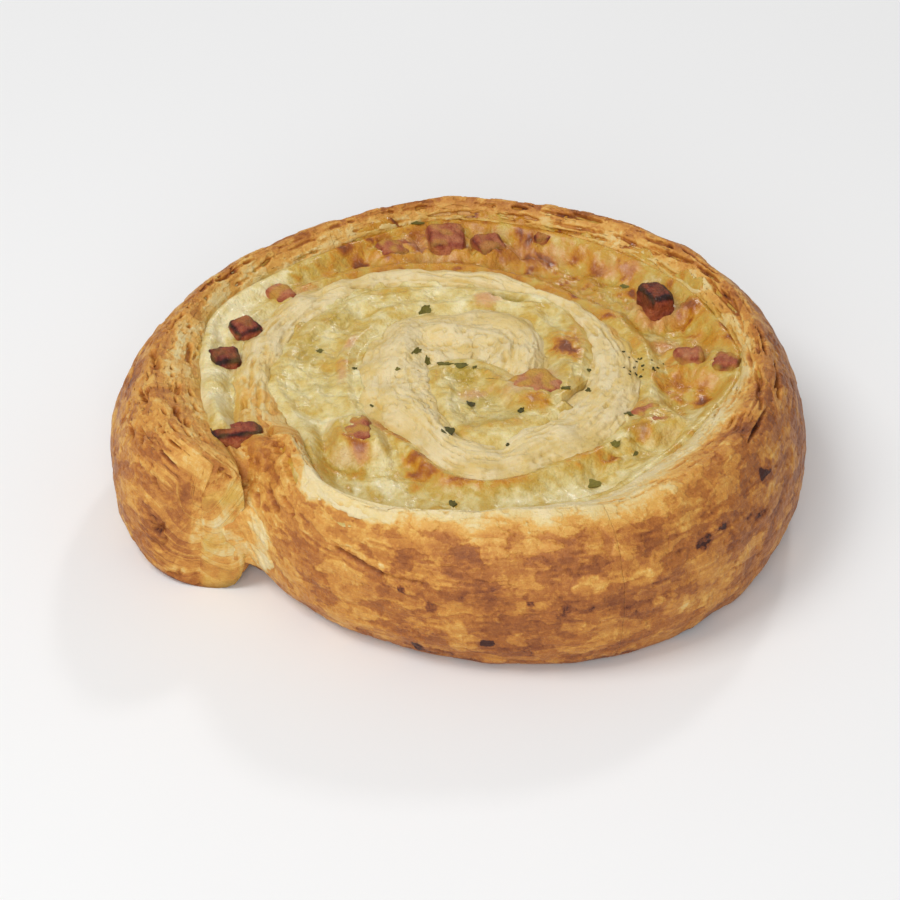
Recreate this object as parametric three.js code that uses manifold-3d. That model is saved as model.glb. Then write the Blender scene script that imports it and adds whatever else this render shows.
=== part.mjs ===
// Ham and cheese pastry swirl: a bar of laminated dough wound into a flat spiral, with a band of cheese
// filling between its turns and cubes of ham sunk into the top.
// Millimetres, +Z up. The origin is the middle of the base. Seen from above, the dough winds in clockwise.
// A place on the spiral is its winding angle w, in degrees from the tail inward, and its radius about
// the eye, the middle of the spiral.

import * as THREE from 'three';
import { mergeVertices } from 'three/addons/utils/BufferGeometryUtils.js';
import Module from 'manifold-3d';

const wasm = await Module();
wasm.setup();

const { clamp, degToRad, lerp, smoothstep } = THREE.MathUtils;

// Driving dimensions.
const EYE_X = 1.0;
const EYE_Y = -3.4;
const TAIL_BEARING = 212;
const CREST_HEIGHT = 28.8;
const OUTER_TURN_INNER_EDGE = 25.6;
const INNER_TURN_EDGE = 24.0;
const INNER_TURN_RIDGE = 25.6;
const EYE_RIDGE = 26.4;
const FILLING_TOP_OUTER = 22.2;
const FILLING_TOP_INNER = 23.2;
const POOL_DIP = 0.8;
const FILLING_LUMP = 0.35;
const CREST_INSET = 8.2;
const CREST_INSET_SHARE = 0.68;
const SEAM_GAP = 0.35;
const CLEARANCE = 0.3;
const HERB_THICKNESS = 0.5;

// The spiral is measured every 30 degrees of winding: radius of the dough's outer and inner face.
const KNOT_STEP = 30;
const OUTER_FACE = [
  60.4, 60.6, 58.0, 58.0, 58.5, 60.4, 60.0, 58.5, 58.0, 56.4, 51.5, 47.3,
  44.6, 40.8, 41.2, 38.8, 35.6, 32.0, 31.6, 31.4, 31.2, 30.0, 30.5, 22.0,
  21.0, 20.0, 21.2, 22.6, 22.2, 22.6, 18.4, 16.2, 16.2,
];
const INNER_FACE = [
  44.9, 43.8, 46.8, 45.6, 49.5, 48.0, 46.5, 46.6, 40.5, 41.7, 41.0, 42.0,
  31.5, 31.6, 31.1, 30.2, 27.5, 27.0, 24.0, 19.8, 17.8, 17.6, 17.0, 7.0,
  5.0, 4.2, 3.4, 2.8, 2.6, 2.8, 3.4, 5.0, 8.0,
];

// Winding angles where something starts or ends.
const TURN = 360;
const STATION_STEP = 6;
const DOUGH_LAST_STATION = 954;
const DOUGH_END = 957;
const FILLING_START = 18;
const POOL_START = 600;
const POOL_END = POOL_START + TURN;
const FILLING_END = POOL_START + STATION_STEP;
const WALL_COVERED_FROM = 352;
const WALL_COVERED_TO = 368;
const UNDERCUT_FROM = 260;
const UNDERCUT_TO = 340;
const FILLING_RISE_FROM = 320;
const FILLING_RISE_TO = 380;
const EYE_RISE_FROM = 660;
const EYE_RISE_TO = 750;

// The tail's end is cut at a slant across the dough, and rounded over.
const TAIL_SLANT = 0.92;
const TAIL_SLANT_END = 30;
const TAIL_MIDDLE_RADIUS = 51;
const TAIL_ROUND = 6;
const TAIL_ROUND_STATIONS = [0, 0.6, 2, 4];
const TAIL_ROUND_SIZE = { outer: 3.6, inner: 0.6, height: 3.6 };
const TAIL_WELD = { radius: 45.6, height: 11, across: 9, along: 7, tall: 16, turn: 30 };

// Outer wall of the dough where it is free: share of its height, then of the foot's and of the crest's inset.
const FREE_WALL = [
  [0, 1, 0], [0.05, 0.62, 0], [0.18, 0.2, 0], [0.4, 0, 0], [0.6, 0, 0.06], [0.78, 0, 0.28], [0.9, 0, 0.55],
  [0.975, 0, 0.82], [1, 0, 1],
];
const FOOT_INSET = 4.4;
const FOOT_INSET_BEFORE_TAIL = 5.2;
// The same wall where another turn covers it: share of the height, share of the foot's spread, inset in mm.
const COVERED_WALL = [
  [0, 1, 0], [0.08, 0.9, 0], [0.25, 0.6, 0], [0.45, 0.3, 0], [0.65, 0, 0], [0.82, 0, 0], [0.93, 0, 0.1],
  [0.975, 0, 0.5], [1, 0, 1.3],
];
// Top of the dough from the crest to the inner edge: share of the width, height of each lamination ridge.
const TOP_RIDGES = [[0.14, 0.1], [0.28, -0.35], [0.42, 0.3], [0.58, -0.3], [0.74, 0.25], [0.88, -0.1]];
const FOOT_SPREAD_INNER = 0.38;
const FOOT_SPREAD_OUTER = 0.17;
const FOOT_SPREAD_POOL = 0.35;
const NARROW_FILLING = 1.6;
// Heights between which the dough starts to spread under the filling.
const SPREAD_TOP = 19;
const SPREAD_BEND = 13;
const COVERED_SPREAD_TOP = 0.65;

// Ham cubes: name of the place, x and y of the middle from the eye, height of the top, width, depth, turn.
const HAM_CUBES = [
  ['left_crease', -37.8, -18.2, 26.3, 8.4, 3.6, 8],
  ['left_charred_front', -41.1, 4.0, 26.4, 5.6, 5.0, 12],
  ['left_charred_back', -38.2, 14.0, 26.2, 5.0, 5.2, 34],
  ['left_back', -32.4, 26.2, 25.0, 4.8, 5.0, 40],
  ['back_left', -12.4, 41.8, 25.2, 6.0, 5.4, 20],
  ['back_middle', -3.2, 44.8, 26.0, 6.6, 8.4, 4],
  ['back_right', 4.4, 42.8, 25.6, 5.2, 6.2, 24],
  ['back_far', 14.4, 46.2, 25.4, 4.2, 4.0, 15],
  ['right_charred', 33.4, 22.6, 27.6, 5.8, 6.2, 28],
  ['right_inner', 38.4, 6.0, 25.4, 4.8, 5.4, 10],
  ['right_outer', 44.4, 3.2, 25.6, 5.4, 5.2, -24],
  ['front_right', 31.2, -11.8, 25.4, 5.6, 6.6, 35],
  ['eye', 11.6, -4.4, 27.0, 8.4, 7.6, 30],
  ['front_left', -17.8, -17.8, 26.6, 5.6, 7.4, 6],
];
const HAM_HEIGHT = 7;
const HAM_EDGE_PULL = 0.95;
const HAM_CORNER_PULL = 0.87;
const HAM_UNEVENNESS = 0.1;

// Herb flakes: x and y of the middle from the eye, length, width, turn about Z.
const HERB_FLAKES = [
  [-6.7, 20.3, 2.0, 1.4, 40], [-8.0, 5.1, 1.8, 0.8, 5], [-6.8, 3.7, 1.6, 0.9, 60],
  [-3.2, 2.1, 3.4, 1.0, 175], [-24.7, 7.0, 1.4, 0.9, 30], [-18.6, 0.8, 1.2, 0.9, 80],
  [1.0, -12.6, 1.8, 1.2, 120], [-2.7, -17.2, 2.4, 1.4, 60], [20.6, 1.6, 1.4, 0.8, 110],
  [20.1, -4.6, 1.4, 0.8, 65], [15.0, -10.8, 1.5, 0.7, 150], [9.2, -14.0, 1.4, 0.8, 80],
  [24.8, -24.3, 1.8, 1.1, 30], [27.8, -25.6, 1.5, 0.7, 100], [19.8, -33.2, 2.6, 1.6, 40],
  [-2.0, -35.4, 1.8, 1.2, 15], [-11.5, 1.4, 1.3, 0.8, 20], [-8.2, 47.6, 1.8, 0.8, 160],
];

// Pits where a bubble in the lamination has opened: winding angle, radius, length, width.
const PITS = [
  [16, 54.6, 5.0, 1.4], [24, 51.0, 3.2, 1.1], [31, 55.2, 6.0, 1.2], [38, 50.6, 3.4, 1.2],
  [45, 54.4, 5.4, 1.4], [52, 50.4, 4.0, 1.0], [60, 52.2, 3.6, 0.9], [196, 52.6, 3.6, 1.1],
  [206, 50.8, 4.6, 1.2], [222, 50.2, 3.6, 1.1],
];
const PIT_DEPTH = 1.6;

// A smooth curve through values that are KNOT_STEP of winding apart.
function alongSpiral(values) {
  const at = (i) => values[clamp(i, 0, values.length - 1)];
  return (w) => {
    const x = clamp(w / KNOT_STEP, 0, values.length - 1);
    const i = Math.min(Math.floor(x), values.length - 2);
    const t = x - i;
    const slopeStart = (at(i + 1) - at(i - 1)) / 2;
    const slopeEnd = (at(i + 2) - at(i)) / 2;
    const t2 = t * t;
    const t3 = t2 * t;
    return (2 * t3 - 3 * t2 + 1) * at(i) + (t3 - 2 * t2 + t) * slopeStart
      + (3 * t2 - 2 * t3) * at(i + 1) + (t3 - t2) * slopeEnd;
  };
}

const outerFaceCurve = alongSpiral(OUTER_FACE);
const innerFaceCurve = alongSpiral(INNER_FACE);

// Small unevenness of hand-rolled dough, in mm, which fades where the dough ends in the eye.
function wobble(w) {
  const fade = 1 - smoothstep(w, POOL_START, POOL_START + 60);
  return fade * (0.35 * Math.sin(degToRad(w * 5.3 + 20)) + 0.22 * Math.sin(degToRad(w * 11.7 + 75)));
}

function outerFace(w) {
  return outerFaceCurve(w) + (w > TURN ? 0.5 : 0.3) * wobble(w);
}

function slant(w) {
  return TAIL_SLANT * (1 - smoothstep(w, 0, TAIL_SLANT_END));
}

// Winding angle that a point at radius r really has, once the slant at the tail turns it.
function slantedWinding(w, r) {
  return w + slant(w) * (r - TAIL_MIDDLE_RADIUS);
}

// Radius of the next turn in, seen from radius r of this one.
function nextTurnFace(w, r) {
  return Math.max(outerFace(w + TURN), outerFace(slantedWinding(w, r) + TURN));
}

function innerFace(w) {
  const plain = innerFaceCurve(w) + wobble(w + 40);
  return w + TURN > DOUGH_END ? plain : Math.max(plain, nextTurnFace(w, plain) + SEAM_GAP);
}

function place(w, r, z) {
  const bearing = degToRad(TAIL_BEARING - slantedWinding(w, r));
  return new THREE.Vector3(EYE_X + r * Math.cos(bearing), EYE_Y + r * Math.sin(bearing), z);
}

// Width of the filling between a turn and the next one in.
function fillingWidth(w) {
  return w < 0 || w > POOL_START ? 0 : innerFace(w) - outerFace(w + TURN);
}

// The filling narrows toward the base, because the dough spreads under it.
function innerFootSpread(w) {
  const strip = FOOT_SPREAD_INNER * Math.max(0, fillingWidth(w) - NARROW_FILLING);
  const pool = FOOT_SPREAD_POOL * innerFace(w);
  return lerp(strip, pool, smoothstep(w, POOL_START, POOL_START + 50));
}

function outerFootSpread(w) {
  return FOOT_SPREAD_OUTER * Math.max(0, fillingWidth(w - TURN) - NARROW_FILLING);
}

// How far the tail's rounding has shrunk the section: 1 at the very end, 0 past the round.
function tailRound(w) {
  const t = clamp(w / TAIL_ROUND, 0, 1);
  return 1 - Math.sqrt(1 - (1 - t) * (1 - t));
}

// The tail's end is baked onto the turn inside it: a lump of crumb that fills the notch between them.
function tailWeld() {
  const middle = place(0, TAIL_WELD.radius, TAIL_WELD.height);
  const lump = new THREE.IcosahedronGeometry(0.5, 1).scale(TAIL_WELD.across, TAIL_WELD.along, TAIL_WELD.tall);
  return lump.rotateZ(degToRad(TAIL_WELD.turn)).translate(middle.x, middle.y, middle.z);
}

// Cross-section of the dough as [radius, height], from the outer foot up, over the top and down the inside.
function doughSection(w) {
  const round = tailRound(w);
  const outer = outerFace(w) - TAIL_ROUND_SIZE.outer * round;
  const inner = innerFace(w) + TAIL_ROUND_SIZE.inner * round;
  const covered = smoothstep(w, WALL_COVERED_FROM, WALL_COVERED_TO);
  const ridge = lerp(INNER_TURN_RIDGE, EYE_RIDGE, smoothstep(w, EYE_RISE_FROM, EYE_RISE_TO));
  const crest = lerp(CREST_HEIGHT - TAIL_ROUND_SIZE.height * round, INNER_TURN_EDGE + 0.3, covered);
  const crestInset = Math.min(CREST_INSET, CREST_INSET_SHARE * (outer - inner));
  const innerEdge = lerp(OUTER_TURN_INNER_EDGE - TAIL_ROUND_SIZE.height * round, INNER_TURN_EDGE, covered);
  const beforeTail = smoothstep(w, UNDERCUT_FROM, UNDERCUT_TO);
  const footInset = lerp(FOOT_INSET, FOOT_INSET_BEFORE_TAIL, beforeTail);
  const points = FREE_WALL.map(([up, footShare, crestShare], i) => {
    const [coveredUp, spread, inset] = COVERED_WALL[i];
    const free = [outer - footShare * footInset - crestShare * crestInset, up * crest];
    const hidden = [outer + spread * outerFootSpread(w) - inset, coveredUp * crest];
    return [lerp(free[0], hidden[0], covered), lerp(free[1], hidden[1], covered)];
  });
  const crestRadius = points[points.length - 1][0];
  TOP_RIDGES.forEach(([share, height]) => {
    const dome = covered * (ridge - INNER_TURN_EDGE) * Math.sin(Math.PI * share);
    const slope = lerp(crest, innerEdge, share ** 1.4);
    const size = clamp((crestRadius - inner) / 6, 0.3, 1);
    points.push([lerp(crestRadius, inner, share), slope + dome + height * size]);
  });
  points.push([inner + 0.1, innerEdge - 0.6]);
  points.push([inner, SPREAD_TOP]);
  points.push([inner - 0.3 * innerFootSpread(w), SPREAD_BEND]);
  points.push([inner - innerFootSpread(w), 0]);
  return points;
}

// Cross-section of the filling strip, from its outer foot up, over the top and down the inside.
function fillingSection(w) {
  const outer = innerFace(w) - CLEARANCE;
  const inner = nextTurnFace(w, outer) + CLEARANCE;
  const rise = smoothstep(w, FILLING_RISE_FROM, FILLING_RISE_TO);
  const top = lerp(FILLING_TOP_OUTER, FILLING_TOP_INNER, rise);
  const lumps = FILLING_LUMP * Math.sin(degToRad(w * 7.1)) * clamp((outer - inner) / 6, 0, 1);
  return [
    [outer - innerFootSpread(w), 0],
    [outer - 0.3 * innerFootSpread(w), SPREAD_BEND],
    [outer, SPREAD_TOP],
    [outer, top - 0.4],
    [lerp(outer, inner, 0.25), top + lumps],
    [lerp(outer, inner, 0.5), top - 0.3 - lumps],
    [lerp(outer, inner, 0.75), top + 0.5 * lumps],
    [inner, top - 0.4],
    [inner, COVERED_SPREAD_TOP * (INNER_TURN_EDGE + 0.3)],
    [inner + outerFootSpread(w + TURN), 0],
  ];
}

// Closes a section by triangles that zigzag between its outer and its inner side, from the foot up.
function cap(count, addTriangle) {
  let low = 0;
  let high = count - 1;
  while (high - low > 1) {
    addTriangle(low, low + 1, high);
    low += 1;
    if (high - low > 1) addTriangle(low, high - 1, high);
    high -= 1;
  }
}

// Joins sections at a row of winding angles into one closed body, with a flat cap at each end.
function sweep(sectionAt, windings) {
  const sections = windings.map(sectionAt);
  const count = sections[0].length;
  const positions = [];
  sections.forEach((section, s) => section.forEach(([r, z]) => positions.push(...place(windings[s], r, z))));
  const index = [];
  for (let s = 0; s < sections.length - 1; s += 1) {
    for (let k = 0; k < count; k += 1) {
      const a = s * count + k;
      const b = s * count + (k + 1) % count;
      index.push(a, b, a + count, b, b + count, a + count);
    }
  }
  cap(count, (a, b, c) => index.push(a, c, b));
  const last = (sections.length - 1) * count;
  cap(count, (a, b, c) => index.push(last + a, last + b, last + c));
  return facingOut(positions, index);
}

// A closed body from positions and triangles, turned so that its faces point out.
function facingOut(positions, index) {
  const geometry = new THREE.BufferGeometry();
  geometry.setAttribute('position', new THREE.Float32BufferAttribute(positions, 3));
  let volume = 0;
  const corner = (i) => new THREE.Vector3().fromArray(positions, 3 * i);
  for (let i = 0; i < index.length; i += 3) {
    volume += corner(index[i]).dot(corner(index[i + 1]).cross(corner(index[i + 2])));
  }
  geometry.setIndex(volume > 0 ? index : index.toReversed());
  return geometry;
}

// Winding angles of the sections. Neighbouring turns share them, so that their faces stay parallel.
function stations(from, to) {
  return Array.from({ length: (to - from) / STATION_STEP + 1 }, (_, i) => from + STATION_STEP * i);
}

function doughBar() {
  const even = stations(TAIL_ROUND, DOUGH_LAST_STATION);
  return sweep(doughSection, [...TAIL_ROUND_STATIONS, ...even, DOUGH_END]);
}

function fillingStrip() {
  return sweep(fillingSection, stations(FILLING_START, FILLING_END));
}

// The pool of filling in the eye: a prism around the eye whose rim follows the dough's inner face.
function eyePool() {
  const windings = stations(POOL_START, POOL_END);
  const count = windings.length;
  const positions = [];
  const ring = (radiusAt, z) => windings.forEach((w) => positions.push(...place(w, radiusAt(w), z)));
  const rim = (w) => innerFace(w) - CLEARANCE;
  ring((w) => rim(w) - innerFootSpread(w), 0);
  ring(rim, FILLING_TOP_INNER - 2);
  ring(rim, FILLING_TOP_INNER);
  ring((w) => 0.5 * rim(w), FILLING_TOP_INNER - POOL_DIP);
  const top = positions.length / 3;
  positions.push(EYE_X, EYE_Y, FILLING_TOP_INNER - POOL_DIP, EYE_X, EYE_Y, 0);
  const index = [];
  for (let i = 0; i < count; i += 1) {
    const next = (i + 1) % count;
    for (let level = 0; level < 3; level += 1) {
      const a = level * count + i;
      const b = level * count + next;
      index.push(a, b, a + count, b, b + count, a + count);
    }
    index.push(3 * count + i, 3 * count + next, top, next, i, top + 1);
  }
  return facingOut(positions, index);
}

// A cube of ham with cut corners and uneven sides, its middle at the origin.
function hamCube(width, depth, height) {
  const geometry = new THREE.BoxGeometry(width, depth, height, 2, 2, 2);
  const position = geometry.attributes.position;
  const half = new THREE.Vector3(width / 2, depth / 2, height / 2);
  for (let i = 0; i < position.count; i += 1) {
    const p = new THREE.Vector3().fromBufferAttribute(position, i).divide(half);
    const sidesMet = Math.round(Math.abs(p.x) + Math.abs(p.y) + Math.abs(p.z));
    p.multiplyScalar([1, 1, HAM_EDGE_PULL, HAM_CORNER_PULL][sidesMet]);
    const leanX = HAM_UNEVENNESS * Math.sin(2.3 * p.y + 1.4 * p.z);
    const leanY = HAM_UNEVENNESS * Math.sin(1.9 * p.z + 1.3 * p.x);
    position.setXYZ(i, (p.x + leanX) * half.x, (p.y + leanY) * half.y, p.z * half.z);
  }
  return geometry;
}

function herbFlake(length, width) {
  const shape = new THREE.Shape([
    new THREE.Vector2(-length / 2, 0), new THREE.Vector2(-length / 8, -width / 2),
    new THREE.Vector2(length / 2, -width / 6), new THREE.Vector2(length / 5, width / 2),
  ]);
  const flake = new THREE.ExtrudeGeometry(shape, { depth: HERB_THICKNESS, bevelEnabled: false });
  return flake.translate(0, 0, -HERB_THICKNESS / 2);
}

function pitTool(length, width) {
  return new THREE.IcosahedronGeometry(0.5, 0).scale(length, width, 2 * PIT_DEPTH);
}

function toSolid(geometry) {
  const bare = geometry.clone();
  bare.deleteAttribute('normal');
  bare.deleteAttribute('uv');
  const merged = mergeVertices(bare, 1e-4);
  return new wasm.Manifold(new wasm.Mesh({
    numProp: 3,
    vertProperties: new Float32Array(merged.attributes.position.array),
    triVerts: new Uint32Array(merged.index.array),
  }));
}

// Cutting can free a crumb, so only the largest piece of a solid is kept.
function toGeometry(solid) {
  const pieces = solid.decompose().sort((a, b) => b.volume() - a.volume());
  const mesh = pieces[0].getMesh();
  const geometry = new THREE.BufferGeometry();
  geometry.setAttribute('position', new THREE.BufferAttribute(new Float32Array(mesh.vertProperties), 3));
  geometry.setIndex(new THREE.BufferAttribute(new Uint32Array(mesh.triVerts), 1));
  return geometry;
}

// Where a vertical line through x and y first meets one of some meshes, from above.
function surfaceBelow(meshes, x, y) {
  const ray = new THREE.Raycaster(new THREE.Vector3(x, y, 60), new THREE.Vector3(0, 0, -1));
  return ray.intersectObjects(meshes)[0];
}

function moved(geometry, x, y, z, turn, tip = 0) {
  return geometry.clone().rotateX(tip).rotateZ(degToRad(turn)).translate(x, y, z);
}

const DOUGH_LOOK = { color: '#d8b27a', roughness: 0.62, metalness: 0 };
const FILLING_LOOK = { color: '#dcc783', roughness: 0.4, metalness: 0 };
const HAM_LOOK = { color: '#c07f66', roughness: 0.4, metalness: 0 };
const CHARRED_HAM_LOOK = { color: '#7c3327', roughness: 0.4, metalness: 0 };

function namedMesh(name, geometry, look) {
  const mesh = new THREE.Mesh(geometry, new THREE.MeshStandardMaterial(look));
  mesh.name = name;
  return mesh;
}

// Opens the pits along the crest of the outer turn.
function cutPits(dough) {
  const surface = [namedMesh('surface', doughBar(), DOUGH_LOOK)];
  return PITS.reduce((solid, [w, r, length, width]) => {
    const middle = place(w, r, 0);
    const hit = surfaceBelow(surface, middle.x, middle.y);
    const turn = TAIL_BEARING - w - 90;
    return solid.subtract(toSolid(moved(pitTool(length, width), middle.x, middle.y, hit.point.z, turn)));
  }, dough);
}

// Fuses each herb flake to what it lies on, and keeps it clear of the other solid.
function addHerbs(dough, filling) {
  const hosts = [
    namedMesh('dough', toGeometry(dough), DOUGH_LOOK),
    namedMesh('filling', toGeometry(filling), FILLING_LOOK),
  ];
  let solids = { dough, filling };
  HERB_FLAKES.forEach(([fromEyeX, fromEyeY, length, width, turn], i) => {
    const x = EYE_X + fromEyeX;
    const y = EYE_Y + fromEyeY;
    const hit = surfaceBelow(hosts, x, y);
    const host = hit.object.name;
    const other = host === 'dough' ? 'filling' : 'dough';
    const tip = 0.25 * Math.sin(2.4 * i);
    const flake = toSolid(moved(herbFlake(length, width), x, y, hit.point.z + 0.1, turn, tip));
    const room = toSolid(moved(herbFlake(length + 1, width + 1.2), x, y, hit.point.z + 0.1, turn, tip));
    solids = { [host]: solids[host].add(flake), [other]: solids[other].subtract(room) };
  });
  return solids;
}

function hamGeometry([, x, y, top, width, depth, turn], grow = 0) {
  const cube = hamCube(width + grow, depth + grow, HAM_HEIGHT + grow);
  return moved(cube, EYE_X + x, EYE_Y + y, top - HAM_HEIGHT / 2, turn, 0.12 * Math.sin(x + y));
}

function swirl() {
  let dough = cutPits(toSolid(doughBar()).add(toSolid(tailWeld())));
  let filling = toSolid(fillingStrip()).add(toSolid(eyePool()));
  HAM_CUBES.forEach((cube) => {
    const pocket = toSolid(hamGeometry(cube, 2 * CLEARANCE));
    dough = dough.subtract(pocket);
    filling = filling.subtract(pocket);
  });
  ({ dough, filling } = addHerbs(dough, filling));
  const group = new THREE.Group();
  group.add(namedMesh('pastry', toGeometry(dough), DOUGH_LOOK));
  group.add(namedMesh('cheese_filling', toGeometry(filling), FILLING_LOOK));
  HAM_CUBES.forEach((cube) => {
    const look = cube[0].includes('charred') || cube[0].includes('crease') ? CHARRED_HAM_LOOK : HAM_LOOK;
    group.add(namedMesh(`ham_${cube[0]}`, hamGeometry(cube), look));
  });
  return group;
}

export default swirl();
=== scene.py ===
"""Ham and cheese pastry swirl: flaky wound dough, melted cheese, browned ham and herbs on a pale floor."""

import math

import bpy
import numpy as np
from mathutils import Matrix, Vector
from mathutils.bvhtree import BVHTree


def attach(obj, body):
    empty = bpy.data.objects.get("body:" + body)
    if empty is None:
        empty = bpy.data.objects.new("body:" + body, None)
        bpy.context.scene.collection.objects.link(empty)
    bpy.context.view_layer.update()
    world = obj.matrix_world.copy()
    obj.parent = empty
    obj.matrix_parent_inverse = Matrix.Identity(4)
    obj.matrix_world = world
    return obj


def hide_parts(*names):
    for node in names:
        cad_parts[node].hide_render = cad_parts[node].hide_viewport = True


bl_info = {
    "name": "Ham and cheese pastry swirl",
    "version": (1, 0, 0),
    "blender": (4, 5, 0),
    "location": "3D View > Sidebar > Swirl",
    "description": "Builds a baked pastry swirl with cheese filling, ham cubes and herbs",
    "category": "Add Mesh",
}

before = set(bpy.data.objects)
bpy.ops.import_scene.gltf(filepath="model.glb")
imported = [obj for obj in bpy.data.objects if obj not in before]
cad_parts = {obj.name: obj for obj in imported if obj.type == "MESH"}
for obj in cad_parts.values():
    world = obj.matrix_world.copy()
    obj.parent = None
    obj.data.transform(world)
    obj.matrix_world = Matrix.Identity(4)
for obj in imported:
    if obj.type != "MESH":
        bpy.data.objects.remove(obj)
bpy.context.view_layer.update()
MM = 0.001
# Looks down at the swirl start from this height, in metres.
LOOK_FROM = 0.1
DOWN = Vector((0, 0, -1))

# Spiral, in millimetres from the eye, as the solids have it.
EYE = np.array([1.0, -3.4, 0.0])
TAIL_BEARING = 212.0
TURN = 360.0
KNOT_STEP = 30.0
CREST_HEIGHT = 28.8
OUTER_TURN_INNER_EDGE = 25.6
INNER_TURN_EDGE = 24.0
INNER_TURN_RIDGE = 25.6
EYE_RIDGE = 26.4
FILLING_TOP_OUTER = 22.2
FILLING_TOP_INNER = 23.2
CREST_INSET = 8.2
CREST_INSET_SHARE = 0.68
SEAM_OVERLAP = 0.5
DOUGH_END = 957.0
POOL_START = 600.0
POOL_END = 960.0
SPREAD_TOP = 19.0
SPREAD_BEND = 13.0
OUTER_FACE = [
    60.4, 60.6, 58.0, 58.0, 58.5, 60.4, 60.0, 58.5, 58.0, 56.4, 51.5, 47.3,
    44.6, 40.8, 41.2, 38.8, 35.6, 32.0, 31.6, 31.4, 31.2, 30.0, 30.5, 22.0,
    21.0, 20.0, 21.2, 22.6, 22.2, 22.6, 18.4, 16.2, 16.2,
]
INNER_FACE = [
    44.9, 43.8, 46.8, 45.6, 49.5, 48.0, 46.5, 46.6, 40.5, 41.7, 41.0, 42.0,
    31.5, 31.6, 31.1, 30.2, 27.5, 27.0, 24.0, 19.8, 17.8, 17.6, 17.0, 7.0,
    5.0, 4.2, 3.4, 2.8, 2.6, 2.8, 3.4, 5.0, 8.0,
]
TAIL_SLANT = 0.92
TAIL_SLANT_END = 30.0
TAIL_MIDDLE_RADIUS = 51.0
TAIL_ROUND = 6.0
TAIL_ROUND_OUTER = 3.6
TAIL_ROUND_INNER = 0.6
# Outer wall where it is free: share of the height, of the foot's inset and of the crest's inset.
FREE_WALL = [
    (0, 1, 0), (0.05, 0.62, 0), (0.18, 0.2, 0), (0.4, 0, 0), (0.6, 0, 0.06), (0.78, 0, 0.28),
    (0.9, 0, 0.55), (0.975, 0, 0.82), (1, 0, 1),
]
FOOT_INSET = 4.4
FOOT_INSET_BEFORE_TAIL = 5.2
# Outer wall where it is covered: share of the height, of the foot's spread, and inset.
COVERED_WALL = [
    (0, 1, 0), (0.08, 0.9, 0), (0.25, 0.6, 0), (0.45, 0.3, 0), (0.65, 0, 0), (0.82, 0, 0),
    (0.93, 0, 0.1), (0.975, 0, 0.5), (1, 0, 1.3),
]
TOP_SHARES = [0.14, 0.28, 0.42, 0.58, 0.74, 0.88]
CREST_ROW = len(FREE_WALL) - 1
FOOT_SPREAD_INNER = 0.38
FOOT_SPREAD_OUTER = 0.17
FOOT_SPREAD_POOL = 0.35
NARROW_FILLING = 1.6
DOUGH_SINKS_FROM = 915.0
DOUGH_END_RIDGE = 24.2
EYE_RISES_FROM = 660.0
EYE_RISES_TO = 750.0
UNDERCUT_FROM = 260.0
UNDERCUT_TO = 340.0
HIGHEST_DOUGH = CREST_HEIGHT - 0.02
HIGHEST_TOPPING = CREST_HEIGHT - 0.3
# Another turn covers the dough's outer wall from here inward.
COVERED_FROM = 352.0
COVERED_TO = 368.0

# Cheese starts here, nearer the tail than in the solids, so that it fills the crease.
FILLING_START = 11.0

# Turns meet here, under the ham in the crease beside the tail.
TURNS_MEET = 366.0
TURNS_OVERLAP = 0.5

# Ham cubes: place, x and y from the eye, height of the top, width, depth, turn, how charred, how glazed.
HAM_CUBES = [
    ("left_crease", -37.8, -18.6, 26.5, 9.4, 4.0, 10, 0.66, 0.1),
    ("left_charred_front", -41.1, 4.0, 26.4, 5.6, 5.0, 12, 0.72, 0.3),
    ("left_charred_back", -38.2, 14.0, 26.2, 5.0, 5.2, 34, 0.6, 0.3),
    ("left_back", -32.4, 26.2, 25.0, 4.8, 5.0, 40, 0.15, 0.6),
    ("back_left", -12.4, 41.8, 25.2, 6.0, 5.4, 20, 0.3, 0.8),
    ("back_middle", -3.2, 44.8, 26.0, 6.6, 8.4, 4, 0.3, 0.4),
    ("back_right", 4.4, 42.8, 25.6, 5.2, 6.2, 24, 0.35, 0.4),
    ("back_far", 14.4, 46.2, 25.4, 4.2, 4.0, 15, 0.4, 0.5),
    ("right_charred", 33.4, 22.6, 28.0, 5.4, 6.0, 28, 0.84, 0.1),
    ("right_inner", 38.4, 6.0, 25.4, 4.8, 5.4, 10, 0.25, 0.5),
    ("right_outer", 44.4, 3.2, 25.6, 5.4, 5.2, -24, 0.4, 0.9),
    ("front_right", 31.2, -11.8, 25.2, 5.6, 6.6, 35, 0.12, 1.0),
    ("eye", 11.6, -4.4, 26.3, 8.4, 7.6, 30, 0.05, 1.0),
    ("front_left", -17.8, -17.8, 26.6, 5.6, 7.4, 6, 0.28, 0.8),
]

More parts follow.
